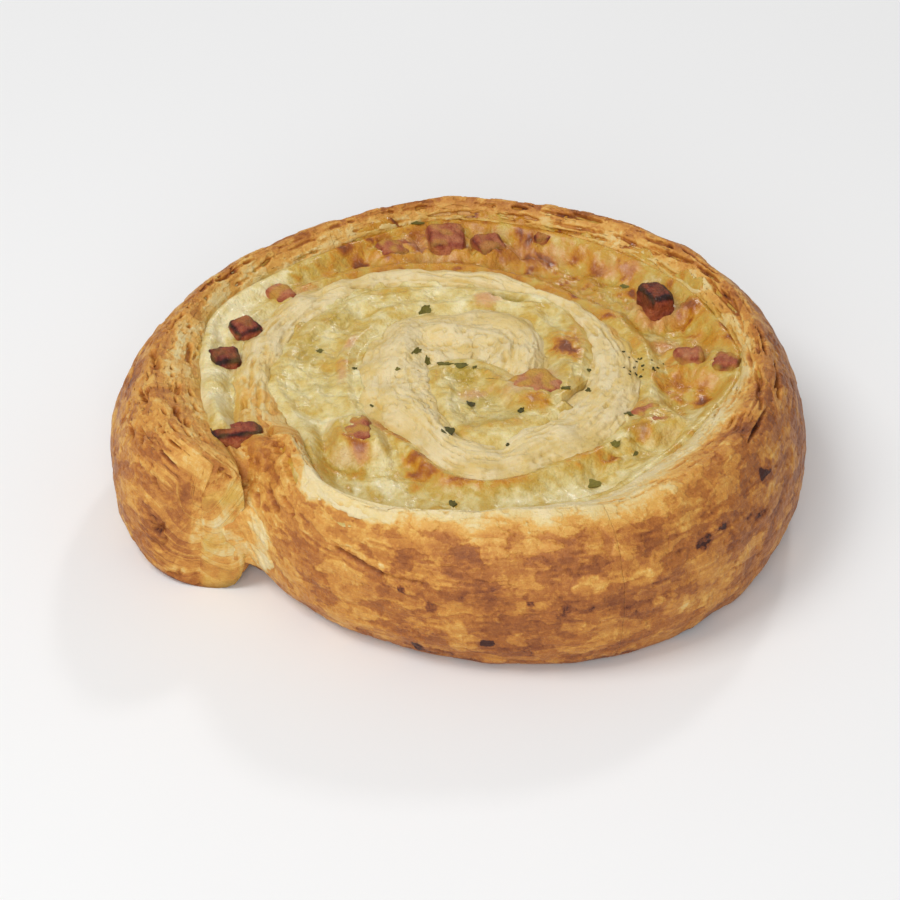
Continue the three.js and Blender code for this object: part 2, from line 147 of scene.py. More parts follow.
# Herb flakes: x and y from the eye, length, width, turn, how dark.
HERB_FLAKES = [
    (-8.3, 48.5, 2.2, 1.2, 160, 0.5), (-6.7, 20.4, 2.6, 1.8, 40, 0.35), (-8.3, 5.0, 2.6, 0.8, 170, 0.4),
    (-6.4, 4.0, 1.8, 1.2, 60, 0.5), (-3.4, 2.4, 2.8, 1.0, 175, 0.4), (-0.6, 2.0, 2.4, 1.4, 20, 0.5),
    (-24.8, 8.2, 1.6, 1.1, 70, 0.4), (-18.6, 2.2, 1.2, 0.9, 60, 0.7), (1.0, -8.8, 2.0, 1.5, 120, 0.8),
    (-2.7, -18.5, 2.8, 2.0, 60, 0.75), (21.3, 1.5, 1.6, 0.9, 110, 0.6), (20.7, -5.0, 1.6, 0.9, 50, 0.6),
    (16.8, -5.9, 2.0, 0.7, 150, 0.6), (9.3, -11.7, 1.5, 1.0, 80, 0.8), (7.0, -20.5, 0.9, 0.6, 0, 0.8),
    (27.4, -11.4, 2.0, 1.5, 20, 0.6), (24.6, -20.0, 2.0, 1.2, 170, 0.2),
    (27.9, -21.0, 1.8, 0.6, 165, 0.4), (20.9, -27.9, 2.6, 2.2, 60, 0.1),
    (-2.0, -34.1, 2.2, 1.2, 165, 0.6), (1.6, 1.3, 1.2, 0.7, 30, 0.4), (-11.3, -0.4, 0.9, 0.6, 20, 0.3),
    (28.7, 31.8, 1.8, 0.9, 10, 0.3), (-15.6, -9.4, 0.8, 0.5, 40, 0.7),
]
# Ground pepper lies in one place: middle from the eye, half width, how many grains.
PEPPER = ((29.4, 3.6), 3.6, 22)

# Spots on the dough: x, y, z from the eye, half length along the dough, half width, amount.
DARK_SPOTS = [
    (-58.1, -4.7, 22.6, 7.0, 3.2, 0.12), (-56.6, -0.6, 25.0, 5.0, 2.4, 0.08),
    (-5.7, -49.7, 13.6, 1.2, 1.0, 0.5), (-10.2, -48.0, 15.9, 0.8, 0.7, 0.4),
    (10.1, -51.7, 15.5, 0.8, 0.7, 0.45), (3.4, -50.9, 6.9, 1.1, 0.9, 0.5),
    (38.5, -40.5, 19.6, 2.2, 1.4, 0.2), (41.5, -38.0, 20.6, 1.6, 1.0, 0.2),
    (49.3, -25.7, 22.6, 3.0, 1.9, 0.25), (-5.7, -47.3, 2.6, 4.6, 1.7, 0.35),
    (15.6, -51.5, 2.0, 4.0, 1.4, 0.3), (-12.3, -47.2, 14.4, 3.4, 1.5, 0.14),
    (2.2, -51.2, 16.1, 8.0, 2.2, 0.12), (14.8, -51.5, 14.6, 7.0, 2.4, 0.08),
    (25.3, -49.3, 13.6, 6.0, 2.6, 0.05), (38.8, -37.9, 23.6, 2.4, 1.3, 0.14),
    (-33.4, -22.9, 26.1, 5.0, 3.0, 0.14), (-31.3, -28.3, 24.6, 3.4, 2.2, 0.12),
    (47.8, -29.8, 19.6, 4.0, 2.4, 0.1),
]
PALE_SPOTS = [
    (20.1, -50.4, 18.1, 3.4, 1.5, 0.2), (17.3, -51.5, 10.8, 3.2, 1.0, 0.22),
    (-2.8, -50.4, 10.1, 4.0, 1.7, 0.18), (27.4, -48.2, 18.0, 2.8, 1.8, 0.18),
    (33.8, -45.3, 10.4, 3.4, 2.2, 0.18), (-18.4, -43.7, 18.4, 6.0, 2.0, 0.08),
    (37.7, -42.3, 9.3, 4.0, 2.0, 0.1), (30.9, -47.1, 13.0, 1.4, 0.9, 0.22),
    (-36.0, -29.0, 12.0, 6.0, 8.0, 0.2), (9.0, -51.2, 10.0, 3.0, 1.2, 0.16),
    (44.4, -34.5, 12.0, 2.6, 3.4, 0.14), (38.4, -19.5, 26.7, 8.0, 3.4, 0.1),
]
# Stripes on the dough: two ends from the eye, half width, how much browner or paler.
STRIPES = [
    ((-49.5, -25.6, 2.9), (-45.7, -26.5, 3.0), 0.6, -0.25),
    ((-45.7, -26.5, 3.0), (-41.9, -26.9, 2.7), 0.6, -0.25),
    ((-49.8, -25.6, 1.0), (-41.0, -27.0, 0.8), 1.1, 0.2),
    ((-44.2, -26.7, 17.0), (-43.7, -26.6, 8.0), 1.8, -0.2),
    ((-53.2, -24.0, 14.0), (-51.9, -25.0, 9.5), 1.6, 0.08),
    ((-37.8, -28.6, 4.5), (-38.6, -28.2, 2.5), 0.9, 0.4),
    ((-19.2, -43.0, 20.3), (-13.6, -46.4, 18.8), 0.6, -0.16),
    ((-13.6, -46.4, 18.8), (-7.2, -48.9, 18.8), 0.6, -0.16),
    ((17.2, 31.0, 25.0), (24.5, 25.5, 25.0), 1.6, 0.3),
    ((24.5, 25.5, 25.0), (31.0, 15.0, 25.0), 1.6, 0.26),
    ((-50.0, -8.0, 27.0), (-49.0, 12.0, 27.0), 1.6, -0.1),
    ((-24.0, -35.0, 27.0), (-13.0, -43.4, 27.0), 2.6, -0.28),
]

# Slits, creases and hollows in the dough: two ends from the eye, half width, depth.
HOLLOWS = [
    ((-33.5, -16.5, 25.6), (-29.6, -25.5, 26.8), 1.3, 1.5),
    ((-28.7, -28.4, 27.0), (-27.6, -32.4, 26.4), 1.1, 1.3),
    ((-26.2, -9.2, 24.0), (-22.6, -18.6, 24.0), 1.1, 1.4),
    ((-32.1, -30.0, 21.4), (-30.7, -32.6, 20.4), 0.7, 1.1),
    ((-29.4, -33.2, 22.6), (-28.2, -35.3, 21.4), 0.7, 1.1),
    ((-22.7, -36.0, 27.2), (-13.0, -42.0, 26.6), 1.1, 1.8),
    ((-34.3, -28.0, 19.3), (-33.6, -28.6, 18.4), 0.8, 1.0),
    ((-41.9, -23.2, 27.0), (-39.6, -27.3, 23.9), 0.45, 1.0),
    ((-39.6, -27.3, 23.9), (-38.2, -27.4, 22.3), 0.45, 0.9),
    ((-55.3, -14.5, 24.3), (-54.8, -17.1, 23.9), 0.42, 0.9),
    ((-53.7, -17.2, 25.5), (-53.2, -19.9, 24.8), 0.5, 1.0),
    ((-54.0, -21.2, 22.5), (-53.7, -22.1, 21.4), 0.4, 0.7),
    ((-50.9, -24.8, 20.5), (-50.4, -25.2, 18.8), 0.35, 0.6),
    ((-51.2, -25.3, 10.6), (-51.2, -25.3, 9.2), 0.5, 0.9),
    ((-50.0, -25.6, 11.9), (-50.0, -25.6, 10.7), 0.5, 0.9),
    ((-20.6, -42.1, 19.2), (-13.7, -46.4, 17.5), 0.5, 0.9),
    ((-13.7, -46.4, 17.5), (-7.2, -48.9, 17.6), 0.35, 0.6),
    ((-52.9, 1.9, 28.2), (-51.6, -3.2, 28.4), 0.8, 1.2),
    ((-52.7, -9.8, 28.0), (-52.9, -12.6, 27.6), 0.55, 0.9),
    ((-47.7, -7.2, 27.9), (-47.7, -10.2, 27.9), 0.6, 1.0),
    ((-46.6, 1.0, 27.0), (-46.6, 6.0, 27.0), 0.55, 1.0),
    ((-47.5, -15.2, 28.0), (-47.3, -17.0, 28.0), 0.6, 1.0),
    ((-45.5, -18.0, 28.0), (-45.3, -19.6, 28.0), 0.6, 1.0),
    ((-37.1, -8.4, 25.3), (-36.7, -11.4, 25.3), 0.6, 1.0),
    ((-53.0, -4.0, 28.0), (-53.1, -6.6, 28.0), 0.5, 0.8),
    ((48.6, -2.6, 28.4), (49.2, -9.4, 28.4), 0.6, 1.1),
    ((52.4, -2.0, 26.8), (52.6, -9.0, 26.6), 0.55, 1.2),
    ((20.1, 47.3, 28.4), (24.6, 44.8, 28.2), 0.4, 0.8),
    ((33.0, 37.0, 28.0), (40.4, 30.6, 27.8), 0.5, 1.0),
    ((43.6, 22.6, 27.6), (46.6, 16.0, 27.6), 0.45, 0.9),
    ((49.2, -11.8, 28.4), (48.8, -15.2, 28.4), 0.4, 0.8),
    ((-51.4, -25.1, 13.1), (-51.4, -25.1, 12.1), 0.4, 0.9),
    ((-50.7, -25.5, 11.2), (-50.7, -25.5, 9.8), 0.4, 0.9),
    ((-51.2, -25.2, 7.9), (-51.2, -25.2, 7.1), 0.35, 0.7),
    ((-49.3, -25.7, 11.9), (-49.3, -25.7, 11.0), 0.4, 0.8),
    ((-49.5, -25.7, 9.4), (-49.5, -25.7, 8.4), 0.4, 0.8),
    ((-48.4, -25.8, 11.0), (-48.4, -25.8, 10.0), 0.35, 0.7),
    ((-47.5, -26.0, 8.4), (-47.5, -26.0, 7.3), 0.4, 0.8),
    ((-46.9, -26.2, 6.0), (-46.9, -26.2, 5.2), 0.35, 0.7),
    ((-49.5, -25.6, 1.8), (-45.7, -26.5, 1.9), 0.45, 0.7),
    ((-45.7, -26.5, 1.9), (-41.9, -26.9, 1.7), 0.45, 0.7),
]


def smoothstep(value, start, end):
    share = np.clip((value - start) / (end - start), 0.0, 1.0)
    return share * share * (3.0 - 2.0 * share)


def lerp(start, end, share):
    return start + (end - start) * share


def covered_share(w):
    return smoothstep(w, COVERED_FROM, COVERED_TO)


# A smooth curve through values that are KNOT_STEP of winding apart.
def along_spiral(values, w):
    values = np.asarray(values, dtype=float)
    place = np.clip(w / KNOT_STEP, 0, len(values) - 1)
    i = np.minimum(np.floor(place).astype(int), len(values) - 2)
    t = place - i
    last = len(values) - 1
    slope_start = (values[i + 1] - values[np.maximum(i - 1, 0)]) / 2
    slope_end = (values[np.minimum(i + 2, last)] - values[i]) / 2
    start_weight = 2 * t**3 - 3 * t**2 + 1
    return (
        start_weight * values[i]
        + (t**3 - 2 * t**2 + t) * slope_start
        + (1 - start_weight) * values[i + 1]
        + (t**3 - t**2) * slope_end
    )


def wobble(w):
    fade = 1 - smoothstep(w, POOL_START, POOL_START + 60)
    slow = 0.35 * np.sin(np.radians(w * 5.3 + 20))
    return fade * (slow + 0.22 * np.sin(np.radians(w * 11.7 + 75)))


def outer_face(w):
    return along_spiral(OUTER_FACE, w) + np.where(w > TURN, 0.5, 0.3) * wobble(w)


def slanted_winding(w, r):
    slant = TAIL_SLANT * (1 - smoothstep(w, 0, TAIL_SLANT_END))
    return w + slant * (r - TAIL_MIDDLE_RADIUS)


def next_turn_face(w, r):
    return np.maximum(outer_face(w + TURN), outer_face(slanted_winding(w, r) + TURN))


def inner_face(w):
    plain = along_spiral(INNER_FACE, w) + wobble(w + 40)
    return np.where(w + TURN > DOUGH_END, plain, np.maximum(plain, next_turn_face(w, plain) - SEAM_OVERLAP))


# Length of the spiral's outer face from the tail, in mm.
def spiral_length(w):
    degrees = np.arange(DOUGH_END + 10)
    steps = math.radians(1) * outer_face(degrees)
    length = np.concatenate([[0], np.cumsum((steps[1:] + steps[:-1]) / 2)])
    return np.interp(w, degrees, length) + np.minimum(w, 0)


# Place in the plan, from the eye.
def place(w, r):
    bearing = np.radians(TAIL_BEARING - slanted_winding(w, r))
    return r * np.cos(bearing), r * np.sin(bearing)


def filling_width(w):
    return np.where((w < 0) | (w > POOL_START), 0.0, inner_face(w) - outer_face(w + TURN))


def inner_foot_spread(w):
    strip = FOOT_SPREAD_INNER * np.maximum(0, filling_width(w) - NARROW_FILLING)
    return lerp(strip, FOOT_SPREAD_POOL * inner_face(w), smoothstep(w, POOL_START, POOL_START + 50))


def outer_foot_spread(w):
    return FOOT_SPREAD_OUTER * np.maximum(0, filling_width(w - TURN) - NARROW_FILLING)


# Corners of the dough's cross-section for each winding angle: outer foot, wall, crest, top, inner side.
def dough_corners(w):
    tail = 1 - np.sqrt(1 - (1 - np.clip(w / TAIL_ROUND, 0, 1)) ** 2)
    outer = outer_face(w) - TAIL_ROUND_OUTER * tail
    inner = inner_face(w) + TAIL_ROUND_INNER * tail
    covered = covered_share(w)
    ridge = lerp(INNER_TURN_RIDGE, EYE_RIDGE, smoothstep(w, EYE_RISES_FROM, EYE_RISES_TO))
    ridge = lerp(ridge, DOUGH_END_RIDGE, smoothstep(w, DOUGH_SINKS_FROM, DOUGH_END))
    crest = lerp(CREST_HEIGHT - TAIL_ROUND_OUTER * tail, INNER_TURN_EDGE + 0.3, covered)
    crest_inset = np.minimum(CREST_INSET, CREST_INSET_SHARE * (outer - inner))
    edge = lerp(OUTER_TURN_INNER_EDGE - TAIL_ROUND_OUTER * tail, INNER_TURN_EDGE, covered)
    foot_inset = lerp(FOOT_INSET, FOOT_INSET_BEFORE_TAIL, smoothstep(w, UNDERCUT_FROM, UNDERCUT_TO))
    radii, heights = [], []
    for (up, foot, crest_share), (covered_up, spread, inset) in zip(FREE_WALL, COVERED_WALL):
        free = outer - foot * foot_inset - crest_share * crest_inset
        hidden = outer + spread * outer_foot_spread(w) - inset
        radii.append(lerp(free, hidden, covered))
        heights.append(lerp(up * crest, covered_up * crest, covered))
    crest_radius = radii[-1]
    for share in TOP_SHARES:
        dome = covered * (ridge - INNER_TURN_EDGE) * math.sin(math.pi * share)
        radii.append(lerp(crest_radius, inner, share))
        heights.append(lerp(crest, edge, share**1.4) + dome)
    spread = inner_foot_spread(w)
    radii += [inner + 0.1, inner, inner - 0.3 * spread, inner - spread]
    heights += [edge - 0.6, SPREAD_TOP + 0 * w, SPREAD_BEND + 0 * w, 0 * w]
    return np.stack(radii, 1), np.stack(heights, 1)


# Numbers between -1 and 1 that look random but are the same in each run.
def scrambled(cells, seed):
    mixed = cells[..., 0] * 374761393 + cells[..., 1] * 668265263 + cells[..., 2] * 2147483647
    mixed = mixed + seed * 1274126177
    mixed = (mixed ^ (mixed >> 13)) * 1274126177
    mixed = mixed ^ (mixed >> 16)
    return (mixed & 0xFFFF) / 32768.0 - 1.0


# Smooth noise, about -1 to 1, whose lumps are as large as the three sizes say.
def noise(places, sizes, seed):
    points = np.stack([axis / size for axis, size in zip(places, sizes)], -1)
    cells = np.floor(points).astype(np.int64)
    inside = points - cells
    fade = inside**3 * (inside * (inside * 6 - 15) + 10)
    total = np.zeros(points.shape[:-1])
    for corner in range(8):
        offset = np.array([corner & 1, corner >> 1 & 1, corner >> 2 & 1])
        weight = np.prod(np.where(offset, fade, 1 - fade), axis=-1)
        reach_in = inside - offset
        slope = sum(scrambled(cells + offset, seed + 31 * i) * reach_in[..., i] for i in range(3))
        total += weight * slope
    return np.clip(total * 1.7, -1, 1)


def layered_noise(places, sizes, seed, octaves=3):
    total = 0
    for octave in range(octaves):
        finer = [size / 2.1**octave for size in sizes]
        total = total + noise(places, finer, seed + 7 * octave) / 1.9**octave
    return total / 1.6


# A place in the plan, turned anticlockwise by degrees.
def turned(x, y, degrees):
    cos, sin = math.cos(math.radians(degrees)), math.sin(math.radians(degrees))
    return x * cos - y * sin, x * sin + y * cos


# Distance from the middle of a spot that lies along the dough: 1 at its edge.
def spot_reach(at, x, y, z, length, width):
    heading = math.atan2(y, x) + math.radians(90)
    east, north, up = at[0] - x, at[1] - y, at[2] - z
    along = east * math.cos(heading) + north * math.sin(heading)
    beside = np.maximum(east**2 + north**2 + up**2 - along**2, 0)
    return np.sqrt((along / length) ** 2 + beside / width**2)


# Distance from a line between two places, as a share of a width.
def line_reach(at, start, end, width):
    start, end = np.array(start), np.array(end)
    line = end - start
    offset = [at[i] - start[i] for i in range(3)]
    share = sum(offset[i] * line[i] for i in range(3)) / (line @ line + 1e-9)
    share = np.clip(share, 0, 1)
    beside = sum((offset[i] - share * line[i]) ** 2 for i in range(3))
    return np.sqrt(beside) / width


def within(reach, solid=0.45, edge=1.1):
    return 1 - smoothstep(reach, solid, edge)


# Sum of soft spots with ragged edges.
def dabs(at, spots, ragged):
    total = 0
    for x, y, z, length, width, amount in spots:
        total = total + amount * within(spot_reach(at, x, y, z, length, width) + ragged, 0.75, 1.05)
    return total


# A surface of rows by stations, with what is painted on it.
class Skin:
    def __init__(self, w, r, z):
        self.w = w
        self.x, self.y = place(w, r)
        self.z = z
        self.paint = {}

    def places(self):
        return self.x, self.y, self.z

    def points(self):
        return np.stack(self.places(), -1) + EYE

    def measure(self, crest_row):
        """Sets how far each point is along the spiral and across the section, from the crest."""
        step = np.sqrt(sum(np.diff(a, axis=1) ** 2 for a in self.places()))
        across = np.concatenate([np.zeros((step.shape[0], 1)), np.cumsum(step, axis=1)], 1)
        self.across = across - across[:, crest_row : crest_row + 1]
        self.along = spiral_length(self.w[:, :1]) + 0 * self.across

    def normals(self):
        across = np.stack([np.roll(a, -1, 1) - np.roll(a, 1, 1) for a in self.places()], -1)
        along = np.stack([np.gradient(a, axis=0) for a in self.places()], -1)
        normal = np.cross(across, along)
        return normal / np.maximum(np.linalg.norm(normal, axis=-1, keepdims=True), 1e-9)

    def push_out(self, amount):
        normal = self.normals()
        self.x = self.x + amount * normal[..., 0]
        self.y = self.y + amount * normal[..., 1]
        self.z = self.z + amount * normal[..., 2]


# Closes an end by rings that shrink toward its middle.
def end_rings(w, r, z, rings, bulge):
    middle_r, middle_z = r.mean(), z.mean()
    shares = np.linspace(0, 1, rings + 1)[1:-1] ** 0.8
    ring_r = np.array([lerp(r, middle_r, s) for s in shares])
    ring_z = np.array([lerp(z, middle_z, s) for s in shares])
    ring_w = np.array([w + bulge * (1 - (1 - s) ** 2) for s in shares])
    return ring_w, ring_r, ring_z


# Rows of a closed section between its corners, with the corners eased.
def section_rows(r, z, rows):
    r = np.concatenate([r, r[:, :1]], 1)
    z = np.concatenate([z, z[:, :1]], 1)
    corner = np.concatenate([i + np.arange(n) / n for i, n in enumerate(rows)])
    i = np.floor(corner).astype(int)
    t = corner - i
    fine_r = r[:, i] * (1 - t) + r[:, i + 1] * t
    fine_z = z[:, i] * (1 - t) + z[:, i + 1] * t
    for _ in range(EASING):
        fine_r = (np.roll(fine_r, 1, 1) + 2 * fine_r + np.roll(fine_r, -1, 1)) / 4
        fine_z = (np.roll(fine_z, 1, 1) + 2 * fine_z + np.roll(fine_z, -1, 1)) / 4
    return fine_r, fine_z, corner


def dough_skin(windings, rows, tail_rings, end_ring_count):
    r, z = dough_corners(windings)
    r, z, corner = section_rows(r, z, rows)
    w = np.repeat(windings[:, None], r.shape[1], 1)
    if tail_rings:
        ring_w, ring_r, ring_z = end_rings(w[0], r[0], z[0], tail_rings, -0.9)
        w, r, z = (np.concatenate([a[::-1], b]) for a, b in ((ring_w, w), (ring_r, r), (ring_z, z)))
    if end_ring_count:
        ring_w, ring_r, ring_z = end_rings(w[-1], r[-1], z[-1], end_ring_count, 1.5)
        w, r, z = (np.concatenate([b, a]) for a, b in ((ring_w, w), (ring_r, r), (ring_z, z)))
    skin = Skin(w, r, z)
    skin.corner = corner + 0 * w
    skin.measure(int(np.argmin(np.abs(corner - CREST_ROW))))
    return skin


# Slits between the layers, by stretch of the spiral: winding from and to, across from and to, spacing,
# length, half width, depth, how much they break up into pits, how far one edge stands out.
SLIT_ZONES = [
    (3, 42, -6.0, 9, 3.0, 10, 0.36, 1.4, 1.0, 0.06), (42, 64, -2.6, 8, 2.7, 10, 0.34, 1.2, 1.0, 0.06),
    (64, 128, -2.4, 7.5, 1.9, 9, 0.32, 0.9, 0.6, 0.1), (128, 236, -2.4, 8, 1.8, 11, 0.36, 1.2, 0.35, 0.22),
    (236, 300, 1, 7, 2.4, 6, 0.3, 0.5, 0.5, 0.1), (300, 354, 0, 10, 2.2, 6, 0.36, 0.8, 0.6, 0.1),
    (8, 350, -25, -7, 4.4, 6, 0.26, 0.14, 0.7, 0.06),
    (366, 560, -3, 14, 1.7, 8, 0.42, 0.6, 0.3, 0.2), (560, 950, -2, 16, 2.0, 6, 0.42, 0.5, 0.4, 0.16),
]


# Slits as along, across, length, half width, depth, how pitted and how far one edge stands out.
def layer_slits():
    chance = np.random.default_rng(12)
    slits = []
    for start, end, low, high, spacing, length, width, depth, pitted, ledge in SLIT_ZONES:
        first, last = spiral_length(start), spiral_length(end)
        for across in np.arange(low, high, spacing):
            along = first + chance.uniform(0, length)
            while along < last:
                own = length * chance.uniform(0.35, 1.5)
                beside = across + chance.normal(0, 0.16) * spacing
                strength = chance.uniform(0.4, 1.15)
                slits.append((along, beside, own, width, depth * strength, pitted, ledge * strength))
                along += own + length * chance.uniform(0.1, 0.9)
    return slits


# Cuts the slits into the relief, and marks where the dough is sunk and the rims beside it, which are
# painted paler as a highlight.
def cut_slits(skin, relief, sunk, rims):
    stations = skin.along[:, 0]
    for number, (along, across, length, width, depth, pitted, ledge) in enumerate(layer_slits()):
        near = np.nonzero(np.abs(stations - along) < length / 2)[0]
        if len(near) < 2:
            continue
        rows = np.nonzero(np.abs(skin.across[near[len(near) // 2]] - across) < 4)[0]
        if len(rows) < 2:
            continue
        block = np.ix_(near, rows)
        run = skin.along[block] - along
        taper = 1 - (2 * run / length) ** 2
        lane = (run, 0 * run + 7.3 * number, 0 * run)
        waver = 0.5 * noise(lane, (6, 1, 1), 71) + 0.12 * noise(lane, (0.9, 1, 1), 72)
        beside = skin.across[block] - across - waver
        pits = smoothstep(noise(lane, (2.6, 1, 1), 73), -0.1, 0.1)
        opened = np.clip(2.5 * taper, 0, 1) * lerp(1, pits, pitted)
        wide = width * (0.5 + 0.5 * taper) * (0.5 + 0.5 * opened)
        cut = opened / (1 + (beside / wide) ** 4)
        edge = np.where(beside > 0, np.exp(-beside / 1.1), np.exp(-((beside / 0.2) ** 2)))
        relief[block] += ledge * taper * edge - depth * cut
        sunk[block] = np.maximum(sunk[block], cut * min(1.0, 0.25 + depth))
        beyond = np.abs(beside) - wide - 0.3
        # Rims beside each slit, painted paler later: a painted highlight.
        rims[block] = np.maximum(rims[block], opened * np.exp(-((beyond / 0.26) ** 2)))


# Where the skin of the crust lies in thin plates one on another, around 0 at their edges.
def plate_noise(at):
    ragged = 0.4 * noise(at, (1.6, 1.6, 1.1), 63) + 0.14 * noise(at, (0.5, 0.5, 0.5), 65)
    return noise(at, (6, 6, 3.2), 62) + ragged


# Relief of the dough in mm: puffed skin, folds, thin plates, pores, slits between layers and hollows.
def dough_relief(skin):
    at = skin.places()
    covered = covered_share(skin.w)
    eye = smoothstep(skin.w, 540, 620)
    inner_side = smoothstep(skin.corner, 15, 16)
    base = smoothstep(1.5 - skin.z, 0, 1.5)
    puff = 0.6 * layered_noise(at, (9, 9, 9), 3, 2) - 0.25
    flat = (skin.along, skin.across, 0 * skin.z)
    folds = 0.8 * noise(flat, (12, 5, 9), 36) + 0.6 * noise(at, (4, 4, 4), 37)
    folds = covered * folds * lerp(0.8, 1, eye)
    knobs = 0.08 * layered_noise(at, (2.4, 2.4, 1.8), 33, 2)
    plates = 0.14 * (1 - covered) * (smoothstep(plate_noise(at), -0.03, 0.03) - 0.5)
    grain = 0.025 * noise(at, (0.6, 0.6, 0.6), 32)
    pore = smoothstep(noise(at, (0.9, 0.9, 0.9), 34), 0.5 - 0.1 * covered, 0.64)
    strands = 0.16 * noise(flat, (5, 0.7, 9), 38) + 0.1 * layered_noise(at, (1.2, 1.2, 1.2), 35, 2)
    crumb = covered * (strands - 0.3 * pore)
    relief = puff + folds + knobs + plates + grain + crumb - 0.12 * (1 - covered) * pore
    sunk = 0.5 * pore * lerp(0.4, 1.0, covered)
    rims = 0 * relief
    cut_slits(skin, relief, sunk, rims)
    ragged = 0.3 * noise(at, (0.9, 0.9, 0.9), 41)
    for start, end, width, hollow in HOLLOWS:
        inside = within(line_reach(at, start, end, width) + ragged, 0.4, 1.2)
        relief = relief - hollow * inside
        sunk = np.maximum(sunk, 0.7 * inside * min(1.0, hollow))
    # The sunk places are painted darker later: partly the crust's own colour in its crevices, partly
    # painted shade.
    skin.paint["sunk"] = np.clip(sunk, 0, 1) * (1 - inner_side)
    skin.paint["rims"] = rims * (1 - inner_side)
    shoulder = smoothstep(skin.corner, 4.4, 6.0) * (1 - smoothstep(skin.corner, 14, 15))
    open_left = 1 - 0.6 * smoothstep(skin.w, 60, 90) * (1 - smoothstep(skin.w, 120, 140))
    skin.paint["pitted"] = shoulder * open_left * (1 - smoothstep(skin.w, 225, 250)) * (1 - covered)
    return relief * (1 - 0.85 * inner_side) * (1 - base)


# How brown the dough is every 30 degrees of the outer turn, from 0, pale crumb, to 1, burnt.
WALL_BROWN = [0.56, 0.56, 0.59, 0.61, 0.61, 0.63, 0.66, 0.70, 0.65, 0.67, 0.66, 0.57, 0.48]
CREST_BROWN = [0.46, 0.48, 0.48, 0.56, 0.64, 0.62, 0.58, 0.58, 0.62, 0.22, 0.02, 0.14, 0.40]
EDGE_BROWN = [0.40, 0.34, 0.26, 0.28, 0.34, 0.34, 0.28, 0.26, 0.18, 0.04, 0.0, 0.10, 0.32]


def around(values, w):
    return np.interp(w, np.arange(len(values)) * KNOT_STEP, values)


def dough_browning(skin):
    at = skin.places()
    flat = (skin.along, skin.across, 0 * skin.z)
    covered = smoothstep(skin.w, 350, 372)
    wall, crest, edge = (around(v, skin.w) for v in (WALL_BROWN, CREST_BROWN, EDGE_BROWN))
    up = smoothstep(skin.corner, 5.0, 7.8)
    over = smoothstep(skin.corner, 8.5, 13.5)
    outer_turn = lerp(lerp(wall, crest, up), edge, over)
    inner_turn = 0.03 + 0.3 * (1 - smoothstep(skin.w, 372, 405))
    golden_edge = within(np.abs(skin.w - 530) / 40, 0.5, 1) * (1 - smoothstep(skin.corner, 8.5, 11))
    inner_turn = inner_turn + 0.26 * golden_edge
    brown = lerp(outer_turn, inner_turn, covered)
    ragged = 0.4 * noise(at, (1.6, 1.6, 1.6), 51) + 0.3 * noise(at, (5, 5, 5), 52)
    brown = brown + dabs(at, DARK_SPOTS, ragged) - dabs(at, PALE_SPOTS, ragged)
    for start, end, width, amount in STRIPES:
        brown = brown + amount * within(line_reach(at, start, end, width) + ragged, 0.6, 1.1)
    mottle = layered_noise(at, (7, 7, 5), 61, 4)
    plates = smoothstep(plate_noise(at), -0.05, 0.05) - 0.5
    brown = brown + lerp(0.12, 0.07, covered) * mottle - lerp(0.1, 0.03, covered) * plates
    brown = brown + lerp(0.06, 0.07, covered) * noise(flat, (8, 0.9, 9), 64)
    # Sunk places (slits, pores, hollows) are painted darker: partly the crust's own colour in its crevices,
    # partly painted shade. Rims beside the slits are painted paler, a painted highlight.
    sunk_tint_and_shade = lerp(0.28, 0.1, covered) * np.clip(2.2 * (1 - brown), 0.3, 1)
    brown = brown + sunk_tint_and_shade * skin.paint["sunk"] - 0.1 * skin.paint["rims"]
    rim = smoothstep(2.2 - skin.z, 0, 1.2)
    brown = brown + 0.14 * rim * (0.6 + mottle)
    under = smoothstep(0.5 - skin.z, 0, 0.4)
    brown = lerp(brown, 0.66 + 0.12 * mottle, under)
    return np.clip(brown, 0, 1)


# A mesh from a skin, closed round the section and at both ends.
def skin_mesh(name, skin):
    stations, rows = skin.z.shape
    points = skin.points().reshape(-1, 3)
    ends = [points[:rows].mean(0), points[-rows:].mean(0)]
    points = np.concatenate([points, ends]) * MM
    s, k = np.meshgrid(np.arange(stations - 1), np.arange(rows), indexing="ij")
    next_k = (k + 1) % rows
    quads = np.stack([s * rows + k, s * rows + next_k, (s + 1) * rows + next_k, (s + 1) * rows + k], -1)
    quads = quads.reshape(-1, 4)
    ring = np.arange(rows)
    ahead = (ring + 1) % rows
    first, last = stations * rows, stations * rows + 1
    start_fan = np.stack([ahead, ring, first + 0 * ring], -1)
    far = (stations - 1) * rows
    end_fan = np.stack([far + ring, far + ahead, last + 0 * ring], -1)
    faces = quads.tolist() + start_fan.tolist() + end_fan.tolist()
    piece = new_piece(name, points, faces)
    set_uv(piece.data, skin_uv(piece.data, skin))
    for label, values in skin.paint.items():
        flat = values.reshape(-1)
        paint_points(piece.data, label, np.concatenate([flat, [flat[:rows].mean(), flat[-rows:].mean()]]))
    return piece


def new_piece(name, points, faces):
    mesh = bpy.data.meshes.new(name)
    mesh.from_pydata(points.tolist(), [], faces)
    mesh.polygons.foreach_set("use_smooth", np.ones(len(mesh.polygons), dtype=bool))
    piece = bpy.data.objects.new(name, mesh)
    bpy.context.collection.objects.link(piece)
    return piece


def paint_points(mesh, label, values):
    attribute = mesh.attributes.new(label, "FLOAT", "POINT")
    attribute.data.foreach_set("value", values.astype(np.float32))


# UV map in decimetres, from places in mm along the dough and across it.
def set_uv(mesh, flat):
    uv = (flat / 100).astype(np.float32)
    mesh.uv_layers.new(name="along_across").data.foreach_set("uv", uv.reshape(-1))


